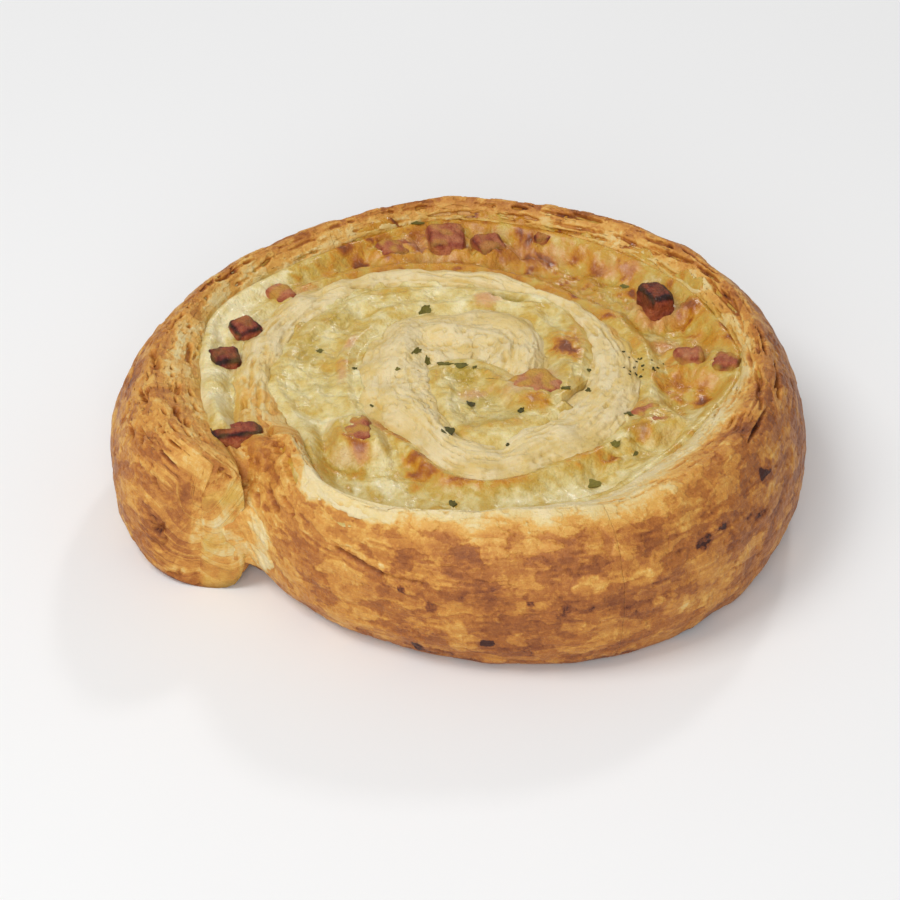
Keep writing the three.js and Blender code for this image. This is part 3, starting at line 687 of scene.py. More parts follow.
def skin_uv(mesh, skin):
    stations, rows = skin.z.shape
    across = np.concatenate([skin.across, skin.across[:, -1:] + 1.0], 1)
    along = np.concatenate([skin.along, skin.along[:, -1:]], 1)
    s, k = np.meshgrid(np.arange(stations - 1), np.arange(rows), indexing="ij")
    corners = [(s, k), (s, k + 1), (s + 1, k + 1), (s + 1, k)]
    uv = np.stack([np.stack([along[c], across[c]], -1) for c in corners], 2).reshape(-1, 2)
    caps = np.zeros((len(mesh.loops) - len(uv), 2))
    return np.concatenate([uv, caps])


def linear(red, green, blue):
    """A colour given as red, green and blue from 0 to 255, as the shaders take it."""
    shares = [c / 255 for c in (red, green, blue)]
    return tuple(c / 12.92 if c <= 0.04045 else ((c + 0.055) / 1.055) ** 2.4 for c in shares)


def colour_property(name, description, red, green, blue):
    return bpy.props.FloatVectorProperty(
        name=name, description=description, default=linear(red, green, blue), subtype="COLOR", min=0, max=1
    )


class SwirlColours(bpy.types.PropertyGroup):
    crumb: colour_property("Crumb", "Palest dough of the inner turns", 223, 204, 158)
    cream: colour_property("Cream", "Dough that has only set", 220, 196, 136)
    golden: colour_property("Golden", "Lightly baked dough", 216, 166, 84)
    tan: colour_property("Tan", "Baked crust", 198, 136, 60)
    brown: colour_property("Brown", "Well-baked crust", 168, 102, 44)
    dark: colour_property("Dark", "Dark crust", 124, 66, 32)
    burnt: colour_property("Burnt", "Burnt crust", 62, 28, 20)
    pale_cheese: colour_property("Pale cheese", "Palest curds of the cheese", 232, 218, 170)
    cheese: colour_property("Cheese", "Melted cheese", 216, 196, 130)
    yellow: colour_property("Yellow cheese", "Thin yellow melted cheese", 198, 164, 72)
    olive: colour_property("Oily cheese", "Cheese that has let go of its oil", 168, 144, 52)
    amber: colour_property("Amber cheese", "Toasted cheese", 196, 136, 34)
    toasted: colour_property("Toasted cheese", "Brown blisters of cheese", 160, 88, 24)
    pink: colour_property("Ham", "Cut face of the ham", 206, 148, 104)
    roasted: colour_property("Roasted ham", "Ham that has begun to brown", 184, 112, 72)
    ham_red: colour_property("Browned ham", "Browned ham", 152, 72, 46)
    ham_dark: colour_property("Dark ham", "Dark edges of browned ham", 98, 34, 24)
    char: colour_property("Charred ham", "Charred edge of the ham", 44, 20, 16)
    herb: colour_property("Herb", "Light side of a herb flake", 122, 112, 40)
    herb_dark: colour_property("Dark herb", "Dark herb flake", 44, 42, 14)


def size_property(name, description, millimetres, highest):
    return bpy.props.FloatProperty(
        name=name, description=description, default=millimetres * MM, min=0, max=highest * MM, precision=5,
        unit="LENGTH",
    )


class SwirlSizes(bpy.types.PropertyGroup):
    ham_height: size_property("Ham height", "Height of a ham cube, most of it sunk into the top", 7.0, 12.0)
    film_reach: size_property("Cheese lap", "How far melted cheese can lap over the dough", 6.0, 10.0)
    film_thickness: size_property("Cheese film", "Thickness of the cheese on the dough", 0.28, 1.0)
    flake_thickness: size_property("Herb flake", "Thickness of a herb flake", 0.16, 0.5)


# Node trees, a node at a time.
class Shading:
    def __init__(self, name):
        self.material = bpy.data.materials.new(name)
        self.material.use_nodes = True
        self.tree = self.material.node_tree
        self.shader = self.tree.nodes["Principled BSDF"]

    def node(self, kind, inputs=(), **settings):
        made = self.tree.nodes.new(kind)
        for key, value in settings.items():
            setattr(made, key, value)
        for key, value in dict(inputs).items():
            self.set(made.inputs[key], value)
        return made

    def set(self, socket, value):
        if isinstance(value, bpy.types.NodeSocket):
            self.tree.links.new(value, socket)
        else:
            socket.default_value = value

    def attribute(self, name):
        return self.node("ShaderNodeAttribute", attribute_name=name).outputs["Fac"]

    def math(self, operation, a, b=0.0, clamp=False):
        made = self.node("ShaderNodeMath", operation=operation, use_clamp=clamp)
        self.set(made.inputs[0], a)
        self.set(made.inputs[1], b)
        return made.outputs[0]

    def shift(self, value, pattern, amount):
        """A value moved up and down by a pattern."""
        centred = self.math("SUBTRACT", pattern, 0.5)
        return self.math("ADD", value, self.math("MULTIPLY", centred, amount))

    def total(self, *weighted):
        """Sum of patterns, each with its weight."""
        parts = [self.math("MULTIPLY", pattern, weight) for pattern, weight in weighted]
        total = parts[0]
        for part in parts[1:]:
            total = self.math("ADD", total, part)
        return total

    def grain(self, per_mm, detail=3.0, roughness=0.55):
        """Even noise over the piece, with this many lumps in a millimetre, about 0 to 1."""
        where = self.node("ShaderNodeTexCoord").outputs["Object"]
        made = self.node(
            "ShaderNodeTexNoise",
            {"Vector": where, "Scale": per_mm * 1000, "Detail": detail, "Roughness": roughness},
        )
        return made.outputs["Fac"]

    def islands(self, ragged, low, high):
        """Patches of a pattern with crisp edges, 0 or 1."""
        made = self.node("ShaderNodeMapRange", {"Value": ragged, "From Min": low, "From Max": high})
        return made.outputs["Result"]

    def streaks(self, length, width, detail=3.0):
        """Noise drawn out along the dough, of this length and width in mm."""
        uv = self.node("ShaderNodeUVMap", uv_map="along_across").outputs["UV"]
        scaled = self.node("ShaderNodeMapping", {"Vector": uv, "Scale": (100 / length, 100 / width, 1)})
        made = self.node(
            "ShaderNodeTexNoise", {"Vector": scaled.outputs[0], "Scale": 1.0, "Detail": detail}
        )
        return made.outputs["Fac"]

    def ramp(self, value, stops):
        made = self.node("ShaderNodeValToRGB", {"Fac": value})
        elements = made.color_ramp.elements
        while len(elements) < len(stops):
            elements.new(0.5)
        for element, (position, colour) in zip(elements, stops):
            element.position = position
            element.color = (*colour, 1)
        return made.outputs["Color"]

    def mix(self, share, a, b):
        made = self.node("ShaderNodeMix", data_type="RGBA")
        self.set(made.inputs["Factor"], share)
        for socket, value in ((made.inputs[6], a), (made.inputs[7], b)):
            self.set(socket, value if isinstance(value, bpy.types.NodeSocket) else (*value, 1))
        return made.outputs[2]

    def bump(self, height, distance_mm):
        made = self.node("ShaderNodeBump", {"Height": height, "Distance": distance_mm * MM})
        self.set(self.shader.inputs["Normal"], made.outputs[0])

    def finish(self, colour, roughness, softness=0.0, coat=0.0):
        self.set(self.shader.inputs["Base Color"], colour)
        self.set(self.shader.inputs["Roughness"], roughness)
        self.shader.inputs["Specular IOR Level"].default_value = 0.3
        self.shader.inputs["Subsurface Weight"].default_value = softness
        self.shader.inputs["Subsurface Radius"].default_value = (1.0, 0.55, 0.25)
        self.shader.inputs["Subsurface Scale"].default_value = 0.0012
        self.shader.inputs["Coat Weight"].default_value = coat
        self.shader.inputs["Coat Roughness"].default_value = 0.25
        return self.material


def dough_material(colours):
    shading = Shading("baked_dough")
    streaks = shading.streaks(3.5, 0.5)
    fine = shading.grain(3.5, 2, 0.6)
    grain = shading.grain(1.1, 3, 0.6)
    coarse = shading.grain(0.3, 3, 0.5)
    plates = shading.islands(shading.streaks(9, 4.5, 6), 0.49, 0.515)
    flakes = shading.islands(shading.grain(0.7, 6, 0.62), 0.54, 0.57)
    # Pits are painted darker, partly the crust's own colour and partly painted shade inside them, and
    # pressed in by the bump.
    pits = shading.islands(shading.streaks(2.6, 0.5, 2), 0.64, 0.68)
    pits = shading.math("MULTIPLY", pits, shading.attribute("pitted"))
    painted = shading.attribute("brown")
    paleness = shading.math("SUBTRACT", 1.0, shading.math("MULTIPLY", painted, 1.8), clamp=True)
    browned = shading.math("SUBTRACT", 1.0, shading.math("MULTIPLY", paleness, 0.3))
    patterns = 0.0
    for pattern, amount in (
        (streaks, 0.12), (fine, 0.2), (grain, 0.24), (coarse, 0.22), (plates, -0.16), (flakes, -0.08)
    ):
        patterns = shading.shift(patterns, pattern, amount)
    level = shading.math("ADD", painted, shading.total((patterns, browned), (pits, 0.12)))
    crust = shading.ramp(
        level,
        [
            (0.0, colours.crumb), (0.16, colours.cream), (0.36, colours.golden), (0.52, colours.tan),
            (0.70, colours.brown), (0.92, colours.dark), (1.0, colours.burnt),
        ],
    )
    # Yellow where cheese has soaked in, and in the sunk places of the inner turns as painted shade.
    crust = shading.mix(shading.attribute("oil"), crust, colours.yellow)
    height = shading.total((streaks, 0.6), (grain, 0.6), (fine, 0.4), (plates, 0.3), (pits, -1.2))
    shading.bump(height, 0.26)
    roughness = shading.shift(0.46, grain, 0.5)
    return shading.finish(crust, roughness, 0.1)


def filling_material(colours):
    shading = Shading("melted_cheese")
    fine = shading.grain(2.4, 2)
    grain = shading.grain(0.8, 3)
    coarse = shading.grain(0.2, 4)
    level = shading.attribute("toast")
    level = shading.shift(level, coarse, 0.8)
    level = shading.shift(level, grain, 0.22)
    cheese = shading.ramp(
        level,
        [
            (0.0, colours.pale_cheese), (0.2, colours.cheese), (0.38, colours.yellow), (0.6, colours.amber),
            (0.85, colours.toasted), (1.0, colours.dark),
        ],
    )
    cheese = shading.mix(shading.attribute("oil"), cheese, colours.olive)
    cheese = shading.mix(shading.attribute("blush"), cheese, colours.pink)
    shading.bump(shading.total((grain, 1.0), (coarse, 1.0), (fine, 0.5)), 0.36)
    roughness = shading.math("SUBTRACT", 0.46, shading.math("MULTIPLY", shading.attribute("gloss"), 0.26))
    return shading.finish(cheese, roughness, 0.15, 0.4)


def ham_material(colours):
    shading = Shading("ham")
    fine = shading.grain(3.0, 3)
    grain = shading.grain(1.0, 4, 0.65)
    coarse = shading.grain(0.4, 3)
    level = shading.attribute("char")
    for pattern, amount in ((coarse, 0.6), (grain, 0.4), (fine, 0.24)):
        level = shading.shift(level, pattern, amount)
    meat = shading.ramp(
        level,
        [
            (0.0, colours.pink), (0.3, colours.roasted), (0.55, colours.ham_red),
            (0.78, colours.ham_dark), (1.0, colours.char),
        ],
    )
    melted = shading.mix(grain, colours.amber, colours.yellow)
    meat = shading.mix(shading.attribute("glaze"), meat, melted)
    shading.bump(shading.total((grain, 1.0), (coarse, 1.0), (fine, 1.0)), 0.35)
    return shading.finish(meat, shading.shift(0.44, grain, 0.5), 0.1)


def herb_material(colours):
    shading = Shading("dried_herb")
    grain = shading.grain(2.0, 3)
    level = shading.math("ADD", shading.attribute("dark"), shading.math("SUBTRACT", grain, 0.5), clamp=True)
    leaf = shading.mix(level, colours.herb, colours.herb_dark)
    shading.bump(grain, 0.1)
    return shading.finish(leaf, 0.6)


def floor_material():
    shading = Shading("pale_floor")
    tone = shading.mix(shading.grain(0.01, 2), (0.86, 0.86, 0.86), (0.88, 0.88, 0.88))
    return shading.finish(tone, 0.9)


def deselect_all():
    if bpy.context.mode != "OBJECT":
        bpy.ops.object.mode_set(mode="OBJECT")
    bpy.ops.object.select_all(action="DESELECT")


def finish_piece(piece, slot, material, *nodes):
    piece.data.materials.clear()
    piece.data.materials.append(material)
    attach(piece, "root")
    if nodes:
        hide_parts(*nodes)


OUTER_ROWS = [4, 9, 14, 15, 22, 25, 25, 15, 10, 10, 10, 10, 10, 10, 8, 6, 2, 3, 5]
INNER_ROWS = [2, 2, 2, 3, 4, 5, 5, 5, 8, 8, 8, 8, 8, 8, 8, 8, 2, 3, 5]
OUTER_TURN_PARTS = {"left": 92.0, "back": 183.0, "right": 275.0, "front": TURNS_MEET + TURNS_OVERLAP}
STATIONS = 460
FIRST_PART_STATIONS = 396
TAIL_STATIONS = 40
TAIL_END_RINGS = 20
INNER_STATIONS = 860
EYE_END_RINGS = 10
EASING = 5


class SWIRL_OT_outer_turn(bpy.types.Operator):
    """Builds the browned outer turn of the dough in four lengths, from the tail to behind it."""

    bl_idname = "swirl.outer_turn"
    bl_label = "Outer turn"

    def execute(self, context):
        tail = np.linspace(0, TAIL_ROUND, TAIL_STATIONS)[:-1]
        beyond = np.linspace(TAIL_ROUND, OUTER_TURN_PARTS["left"], FIRST_PART_STATIONS)
        windings = np.concatenate([tail, beyond])
        rings = TAIL_END_RINGS
        for name, end in OUTER_TURN_PARTS.items():
            finish_dough(context, dough_skin(windings, OUTER_ROWS, rings, 0), "outer_turn_" + name)
            following = [part_end for part_end in OUTER_TURN_PARTS.values() if part_end > end]
            rings = 0
            if following:
                windings = np.linspace(end, following[0], STATIONS)
        return {"FINISHED"}


class SWIRL_OT_inner_turns(bpy.types.Operator):
    """Builds the pale inner turns of the dough and the dome in the eye."""

    bl_idname = "swirl.inner_turns"
    bl_label = "Inner turns"

    def execute(self, context):
        windings = np.linspace(TURNS_MEET, DOUGH_END, INNER_STATIONS)
        finish_dough(context, dough_skin(windings, INNER_ROWS, 0, EYE_END_RINGS), "inner_turns")
        return {"FINISHED"}


def finish_dough(context, skin, name):
    relief = dough_relief(skin)
    skin.paint["brown"] = dough_browning(skin)
    # The oil tint is soaked cheese and, in the sunk places of the inner turns, painted shade.
    skin.paint["oil"] = cheese_and_sunk_shade(skin)
    skin.push_out(relief)
    skin.z = np.clip(skin.z, 0.0, HIGHEST_DOUGH)
    piece = skin_mesh(name, skin)
    finish_piece(piece, "baked_dough", dough_material(context.scene.swirl_colours), "pastry")


# Where melted cheese has soaked into the dough beside it, and a yellow tint in the sunk places of the inner
# turns that is painted shade.
def cheese_and_sunk_shade(skin):
    at = skin.places()
    inner_edge = smoothstep(skin.corner, 12.0, 15) * (1 - smoothstep(skin.w, 600, 640))
    outer_edge = smoothstep(skin.w, 356, 376) * (1 - smoothstep(skin.corner, 8.5, 11.5))
    patches = smoothstep(layered_noise(at, (6, 6, 6), 75), -0.35, 0.5)
    soaked = 0.75 * np.maximum(inner_edge, outer_edge) * patches
    covered = covered_share(skin.w)
    stains = 0.42 * covered * smoothstep(layered_noise(at, (4.4, 4.4, 4.4), 76, 3), 0.0, 0.45)
    # Sunk places of the inner turns take the cheese yellow as painted shade.
    sunk_place_shade = 0.6 * covered * skin.paint["sunk"]
    return np.clip(np.maximum(np.maximum(soaked, sunk_place_shade), stains), 0, 1)


# Where dough has baked together across a crease: middle from the eye, direction of the look into it, half
# width, half height, how far the fill is eased, how brown, how brown on its right, and its lowest height.
CREASE_BRIDGES = {
    "tail_bridge": ((-34.9, -28.6, 10.4), (0.32, 0.947, 0.0), 7.4, 11.0, 2.4, 0.3, 0.08, -2.0),
    "crease_bridge": ((-38.4, -16.8, 30.0), (0.0, 0.0, -1.0), 9.0, 10.8, 3.4, 0.38, 0.32, 21.0),
}


class SWIRL_OT_bridges(bpy.types.Operator):
    """Closes the creases at the tail with crumb that has baked across them."""

    bl_idname = "swirl.bridges"
    bl_label = "Crumb across the creases"

    def execute(self, context):
        hosts = [surface_tree(context.scene.objects[name]) for name in DOUGH_PIECES]
        material = dough_material(context.scene.swirl_colours)
        for name, bridge in CREASE_BRIDGES.items():
            piece = bridging_crumb(name, hosts, *bridge)
            finish_piece(piece, "baked_dough", material, "pastry")
        return {"FINISHED"}


BRIDGE_STEP = 0.2
BRIDGE_BACK_OFF = 14.0
BRIDGE_THICKNESS = 2.5
LONGEST_LOOK = 0.06


def blurred(grid, passes):
    for _ in range(passes):
        for axis in (0, 1):
            low, high = np.roll(grid, 1, axis), np.roll(grid, -1, axis)
            inside = np.ones(grid.shape[axis], dtype=bool)
            inside[[0, -1]] = False
            shape = [1, 1]
            shape[axis] = -1
            grid = np.where(inside.reshape(shape), (low + 2 * grid + high) / 4, grid)
    return grid


def bridging_crumb(name, hosts, middle, into, half_width, half_height, eased, brown, brown_right, lowest):
    into = np.array(into) / np.linalg.norm(into)
    up = np.array([0.0, 0.0, 1.0]) if abs(into[2]) < 0.5 else np.array([0.0, 1.0, 0.0])
    right = np.cross(into, up)
    u = np.arange(-half_width, half_width, BRIDGE_STEP)
    v = np.arange(-half_height, half_height, BRIDGE_STEP)
    u, v = np.meshgrid(u, v, indexing="ij")
    start = np.array(middle) + u[..., None] * right + v[..., None] * up - BRIDGE_BACK_OFF * into
    depth = np.full(u.shape, 2 * BRIDGE_BACK_OFF)
    for index in np.ndindex(u.shape):
        origin = Vector((start[index] + EYE) * MM)
        hits = [tree.ray_cast(origin, Vector(into), LONGEST_LOOK)[3] for tree in hosts]
        depth[index] = min([hit / MM for hit in hits if hit is not None], default=2 * BRIDGE_BACK_OFF)
    filled = blurred(depth, int(2 * (eased / BRIDGE_STEP) ** 2 / 4))
    edge = (1 - np.hypot(u / half_width, v / half_height)) * half_width - 1
    edge = edge + noise((u, v, 0 * u), (3, 3, 3), 134)
    place_of = start + depth[..., None] * into
    at = tuple(np.moveaxis(place_of, -1, 0))
    strands = noise((u + 0.5 * v, v - 0.5 * u, 0 * u), (0.8, 4, 1), 131)
    crumb = 0.3 * layered_noise(at, (2.2, 2.2, 2.2), 132, 3) + 0.3 * strands
    brimming = 0.3 + 0.7 * smoothstep(depth - filled, 0.5, 3.0)
    surface = np.minimum(depth + 0.45, filled - brimming) - crumb
    height = start[..., 2] + surface * into[2]
    shown = smoothstep(edge, 0, 2.6) * smoothstep(height, lowest, lowest + 2.0)
    surface = lerp(depth + 1.6, surface, shown)
    front = start + surface[..., None] * into
    tone = lerp(brown, brown_right, smoothstep(u, -1, 3)) + 0.16 * layered_noise(at, (3, 3, 3), 133, 3)
    tone = tone - 0.3 * crumb + 0.24 * (1 - smoothstep(edge, 0.5, 3.5))
    paint = {"brown": np.clip(tone, 0, 1), "oil": 0 * u, "pitted": 0 * u}
    return slab_mesh(name, front, front + BRIDGE_THICKNESS * into, (u, v), paint, shown > 0)


# A closed sheet between two grids of points from the eye, where its cells are wanted.
def slab_mesh(name, front, back, flat, paint, wanted):
    rows, columns = front.shape[:2]
    points = np.concatenate([front.reshape(-1, 3), back.reshape(-1, 3)]) + EYE
    points[:, 2] = np.clip(points[:, 2], 0.0, HIGHEST_DOUGH)
    count = rows * columns
    kept = wanted[:-1, :-1] | wanted[1:, :-1] | wanted[:-1, 1:] | wanted[1:, 1:]
    i, j = np.nonzero(kept)
    corner = i * columns + j
    quads = np.stack([corner, corner + columns, corner + columns + 1, corner + 1], -1)
    edges = {(a, b) for quad in quads.tolist() for a, b in zip(quad, quad[1:] + quad[:1])}
    sides = [[b, a, a + count, b + count] for a, b in sorted(edges) if (b, a) not in edges]
    faces = quads.tolist() + (quads[:, ::-1] + count).tolist() + sides
    piece = new_piece(name, points * MM, faces)
    uv = np.stack([np.tile(axis.reshape(-1), 2) for axis in flat], -1)
    set_uv(piece.data, uv[[loop.vertex_index for loop in piece.data.loops]])
    for label, values in paint.items():
        paint_points(piece.data, label, np.tile(values.reshape(-1), 2))
    face_out(piece)
    return piece


# Spots on the filling, in the plan from the eye: x, y, half length, half width, amount.
TOASTED = [
    (-21.1, 40.9, 2.6, 2.0, 0.4), (-15.0, 44.0, 3.0, 1.6, 0.25), (-9.0, 46.0, 3.0, 1.6, 0.2),
    (6.5, 40.6, 3.0, 1.8, 0.2), (12.9, 40.7, 3.0, 2.0, 0.2), (19.0, 41.0, 2.4, 1.6, 0.26),
    (24.0, 36.5, 2.4, 2.0, 0.3), (29.0, 34.0, 2.2, 1.6, 0.26), (39.6, 21.5, 2.0, 2.4, 0.45),
    (37.6, 19.0, 2.0, 1.6, 0.45), (45.2, 14.0, 2.0, 1.2, 0.4), (36.0, 1.0, 4.0, 2.6, 0.34),
    (40.0, -4.0, 4.6, 1.4, 0.4), (28.5, -16.4, 2.6, 2.0, 0.34), (19.1, -23.0, 4.4, 2.4, 0.34),
    (17.9, -21.2, 2.0, 1.4, 0.4), (24.0, -23.0, 2.0, 1.0, 0.6), (-7.7, -23.1, 3.0, 2.4, 0.5),
    (-13.2, -15.0, 2.6, 2.0, 0.4), (-10.7, -17.3, 2.4, 1.6, 0.4), (-6.6, -26.9, 3.0, 2.0, 0.4),
    (-0.1, -29.9, 3.6, 1.5, 0.4), (17.2, 7.6, 2.4, 2.0, 0.4), (19.1, 11.8, 3.0, 2.0, 0.3),
    (11.6, -9.6, 2.8, 2.2, 0.4), (-17.5, -21.9, 3.0, 1.5, 0.5), (6.0, -30.4, 4.6, 1.5, 0.32),
    (17.6, 8.4, 4.0, 2.4, 0.32), (-20.4, 2.7, 3.4, 1.8, 0.3),
]
OILY = [
    (7.9, 24.2, 3.0, 1.4, 0.8), (-21.7, 18.0, 4.0, 2.6, 0.35), (-26.5, 8.2, 5.0, 3.0, 0.3),
    (-23.6, -3.9, 3.4, 2.6, 0.3), (0.0, 0.2, 3.4, 3.0, 0.7), (2.5, -7.3, 4.0, 3.4, 0.55),
    (7.8, -12.4, 5.0, 2.6, 0.45), (28.5, -15.4, 3.0, 2.2, 0.4), (24.0, 33.0, 4.0, 2.0, 0.3),
]
PALE_CHEESE = [
    (-40.8, 18.0, 9.0, 3.6, 0.2), (-33.0, 30.0, 6.0, 2.6, 0.2), (-14.0, -23.6, 2.8, 3.4, 0.3),
    (-13.0, -29.5, 3.6, 2.6, 0.25), (-18.7, -29.0, 3.6, 2.4, 0.25), (12.8, 24.3, 3.4, 1.8, 0.3),
    (8.7, -33.4, 8.0, 1.8, 0.2), (24.0, -28.5, 8.0, 2.4, 0.2), (38.0, -13.0, 7.0, 3.0, 0.2),
]
BLUSH = [
    (-8.0, 43.2, 5.0, 2.6, 0.5), (8.6, 43.4, 4.0, 2.2, 0.45), (17.0, 41.4, 3.0, 1.6, 0.4),
    (26.0, 36.0, 2.4, 1.6, 0.4), (34.7, 11.6, 3.6, 3.0, 0.5), (-28.0, 28.0, 3.4, 1.8, 0.4),
    (-19.7, 9.1, 2.8, 0.9, 0.7), (-20.8, 0.6, 3.6, 1.0, 0.55), (12.6, -0.8, 3.4, 2.6, 0.6),
    (9.0, -5.0, 3.4, 2.6, 0.5), (4.0, 23.2, 2.6, 1.8, 0.95), (1.4, -5.6, 2.6, 1.6, 0.6),
    (30.1, 34.5, 1.6, 1.6, 0.5),
]
# Lumps and hollows of the filling: x, y, half length, half width, height.
LUMPS = [
    (-21.1, 40.9, 3.0, 2.0, 0.8), (-14.0, -23.0, 2.6, 3.0, 1.0), (-13.0, -29.5, 3.0, 2.2, 0.7),
    (-7.7, -23.4, 3.2, 2.6, 0.8), (39.6, 21.5, 2.2, 2.4, 1.0), (19.0, -22.6, 3.6, 2.0, 0.7),
    (24.0, -23.8, 2.2, 1.1, 0.8), (7.9, 24.2, 2.8, 1.2, -1.6), (12.8, 24.3, 2.6, 1.4, 0.8),
    (-21.7, 20.0, 4.0, 2.2, 0.8), (24.0, 36.5, 4.0, 3.0, 0.6), (29.0, 23.9, 1.4, 0.8, -2.0),
    (27.1, 27.3, 1.3, 0.5, -1.5), (22.5, 31.6, 1.2, 0.4, -1.2), (-11.9, 39.6, 1.4, 0.7, -1.5),
    (33.0, 18.4, 2.6, 1.6, -0.8),
]


def plan_dabs(skin, spots, ragged):
    total = 0 * skin.z
    at = (skin.x, skin.y, 0 * skin.z)
    for x, y, length, width, amount in spots:
        total = total + amount * within(spot_reach(at, x, y, 0, length, width) + ragged, 0.2, 1.3)
    return total


def ham_rise(skin):
    """Cheese drawn up against each cube of ham."""
    total = 0 * skin.z
    for _, x, y, top, width, depth, turn, _, glazed in HAM_CUBES:
        east, north = turned(skin.x - x, skin.y - y, -turn)
        across, along = np.abs(east) - width / 2, np.abs(north) - depth / 2
        gap = np.hypot(np.maximum(across, 0), np.maximum(along, 0))
        climb = np.clip(top - skin.z - 2.0 + 1.6 * glazed, 0, 1.4 + 2.2 * glazed)
        total = np.maximum(total, (1 - smoothstep(gap, 0, 2.2 + glazed)) * climb)
    return total


# How toasted the cheese is every 30 degrees of the strip, before its own spots.
STRIP_TOAST = [0.3, 0.14, 0.18, 0.5, 0.6, 0.57, 0.44, 0.42, 0.34, 0.26, 0.34, 0.36, 0.32]
INNER_STRIP_TOAST = [0.2, 0.24, 0.28, 0.26, 0.22, 0.28, 0.34, 0.3, 0.26]
FILLING_STATIONS = 900
FILLING_COLUMNS = 84


# Heights of the dough's surface under places in the plan, smoothed so that cheese bridges the slits.
def dough_heights(hosts, x, y):
    heights = np.zeros(x.shape)
    for index in np.ndindex(x.shape):
        above = Vector(((x[index] + EYE[0]) * MM, (y[index] + EYE[1]) * MM, LOOK_FROM))
        hits = [tree.ray_cast(above, DOWN)[0] for tree in hosts]
        heights[index] = max([hit.z / MM for hit in hits if hit is not None], default=0)
    for _ in range(3):
        heights = (np.roll(heights, 1, 0) + 2 * heights + np.roll(heights, -1, 0)) / 4
        padded = np.concatenate([heights[:, :1], heights, heights[:, -1:]], 1)
        heights = (padded[:, :-2] + 2 * heights + padded[:, 2:]) / 4
    return heights


# Height of cheese over the dough it laps onto, in mm, less than 0 where the dough is bare.
def film_over_dough(at, w, over, reach, outward, thickness):
    back = smoothstep(w, 84, 104) * (1 - smoothstep(w, 175, 200))
    left_inside = smoothstep(w, 350, 380) * (1 - smoothstep(w, 470, 510))
    outside = lerp(-0.7, 0.3, left_inside) + 0.84 * back * (1 - left_inside)
    wanted = np.where(outward, outside, 0.5 * left_inside + 0.05)
    patches = layered_noise(at, (6, 6, 6), 86, 2) + wanted - 1.1 * smoothstep(over / reach, 0.0, 0.85)
    return lerp(-0.7, thickness, smoothstep(patches, -0.07, 0.07))


def filling_skin(hosts, film_reach, film_thickness):
    windings = np.linspace(FILLING_START, POOL_START + 6, FILLING_STATIONS)
    w = windings[:, None]
    outer = inner_face(w)
    inner = next_turn_face(w, outer)
    reach = 0.7 + np.minimum(film_reach, 0.5 * (outer_face(w) - outer)) * (1 - smoothstep(w, 540, 585))
    share = np.linspace(0, 1, FILLING_COLUMNS)[None, :]
    r_top = lerp(outer + reach, inner - reach, share)
    inside = np.minimum(outer - r_top, r_top - inner)
    inner_edge = INNER_TURN_EDGE + lerp(0.5, 1.0, smoothstep(w, 352, 380))
    outer_edge = lerp(OUTER_TURN_INNER_EDGE - 0.1, inner_edge, covered_share(w))
    base = lerp(FILLING_TOP_OUTER, FILLING_TOP_INNER + 0.7, smoothstep(w, 320, 390))
    x, y = place(w + 0 * r_top, r_top)
    at = (x, y, 0 * x)
    spread = lerp(2.4, 3.0, covered_share(w)) + 1.3 * noise(at, (6, 6, 6), 85)
    z_top = base + (outer_edge - base) * np.exp(-((np.maximum(outer - r_top, 0) / spread) ** 2))
    z_top = z_top + (inner_edge - base) * np.exp(-((np.maximum(r_top - inner, 0) / spread) ** 2))
    over = np.maximum(-inside, 0)
    film = film_over_dough(at, w, over, reach, r_top > outer, film_thickness)
    under = dough_heights(hosts, x, y)
    lapping = np.maximum(z_top - 0.5 * over, under + film)
    lapping = lerp(lapping, under - 1.0, smoothstep(over / reach, 0.75, 1.0))
    z_top = np.where(inside > 0, z_top, lapping)
    spread_foot = inner_foot_spread(windings)[:, None]
    next_spread = outer_foot_spread(windings + TURN)[:, None]
    r_side = [inner + 0 * w, inner + 0.7 + next_spread, outer - 1.0 - spread_foot, outer - 0.3]
    z_side = [15.0 + 0 * w, 0.0 * w, 0.0 * w, 15.0 + 0 * w]
    r = np.concatenate([r_top] + r_side, 1)
    z = np.concatenate([z_top] + z_side, 1)
    skin = Skin(w + 0 * r, r, z)
    sides = np.zeros((len(windings), 4))
    skin.top = np.concatenate([1 + 0 * r_top, sides], 1)
    skin.measure(0)
    first, second = around(STRIP_TOAST, w), around(INNER_STRIP_TOAST, w - TURN)
    skin.base_toast = lerp(first, second, smoothstep(w, 350, 366)) + 0 * r
    return skin, np.concatenate([inside, sides], 1)


# How far the pool laps over the dough round the eye, and its height, in mm.
POOL_LAP = 4.6
POOL_LEVEL = 24.2
POOL_STATIONS = 240
POOL_COLUMNS = 44


def pool_skin():
    windings = np.linspace(POOL_START, POOL_END, POOL_STATIONS + 1)[:-1]
    w = windings[:, None]
    rim = inner_face(w) + POOL_LAP
    share = np.linspace(1, 0.05, POOL_COLUMNS)[None, :]
    r = np.concatenate([rim * share, 0.3 * rim, 0.65 * rim], 1)
    from_edge = rim * (1 - share) - POOL_LAP
    level = POOL_LEVEL + 1.1 * np.exp(-((np.maximum(from_edge, 0) / 3.6) ** 2))
    level = level - 1.6 * smoothstep(-from_edge, 0.8, POOL_LAP)
    z = np.concatenate([level, 0 * w, 0 * w], 1)
    skin = Skin(w + 0 * r, r, z)
    skin.top = np.concatenate([1 + 0 * rim * share, 0 * w, 0 * w], 1)
    skin.measure(0)
    skin.base_toast = 0.31 + 0 * z
    return skin, np.concatenate([from_edge, 0 * w, 0 * w], 1)


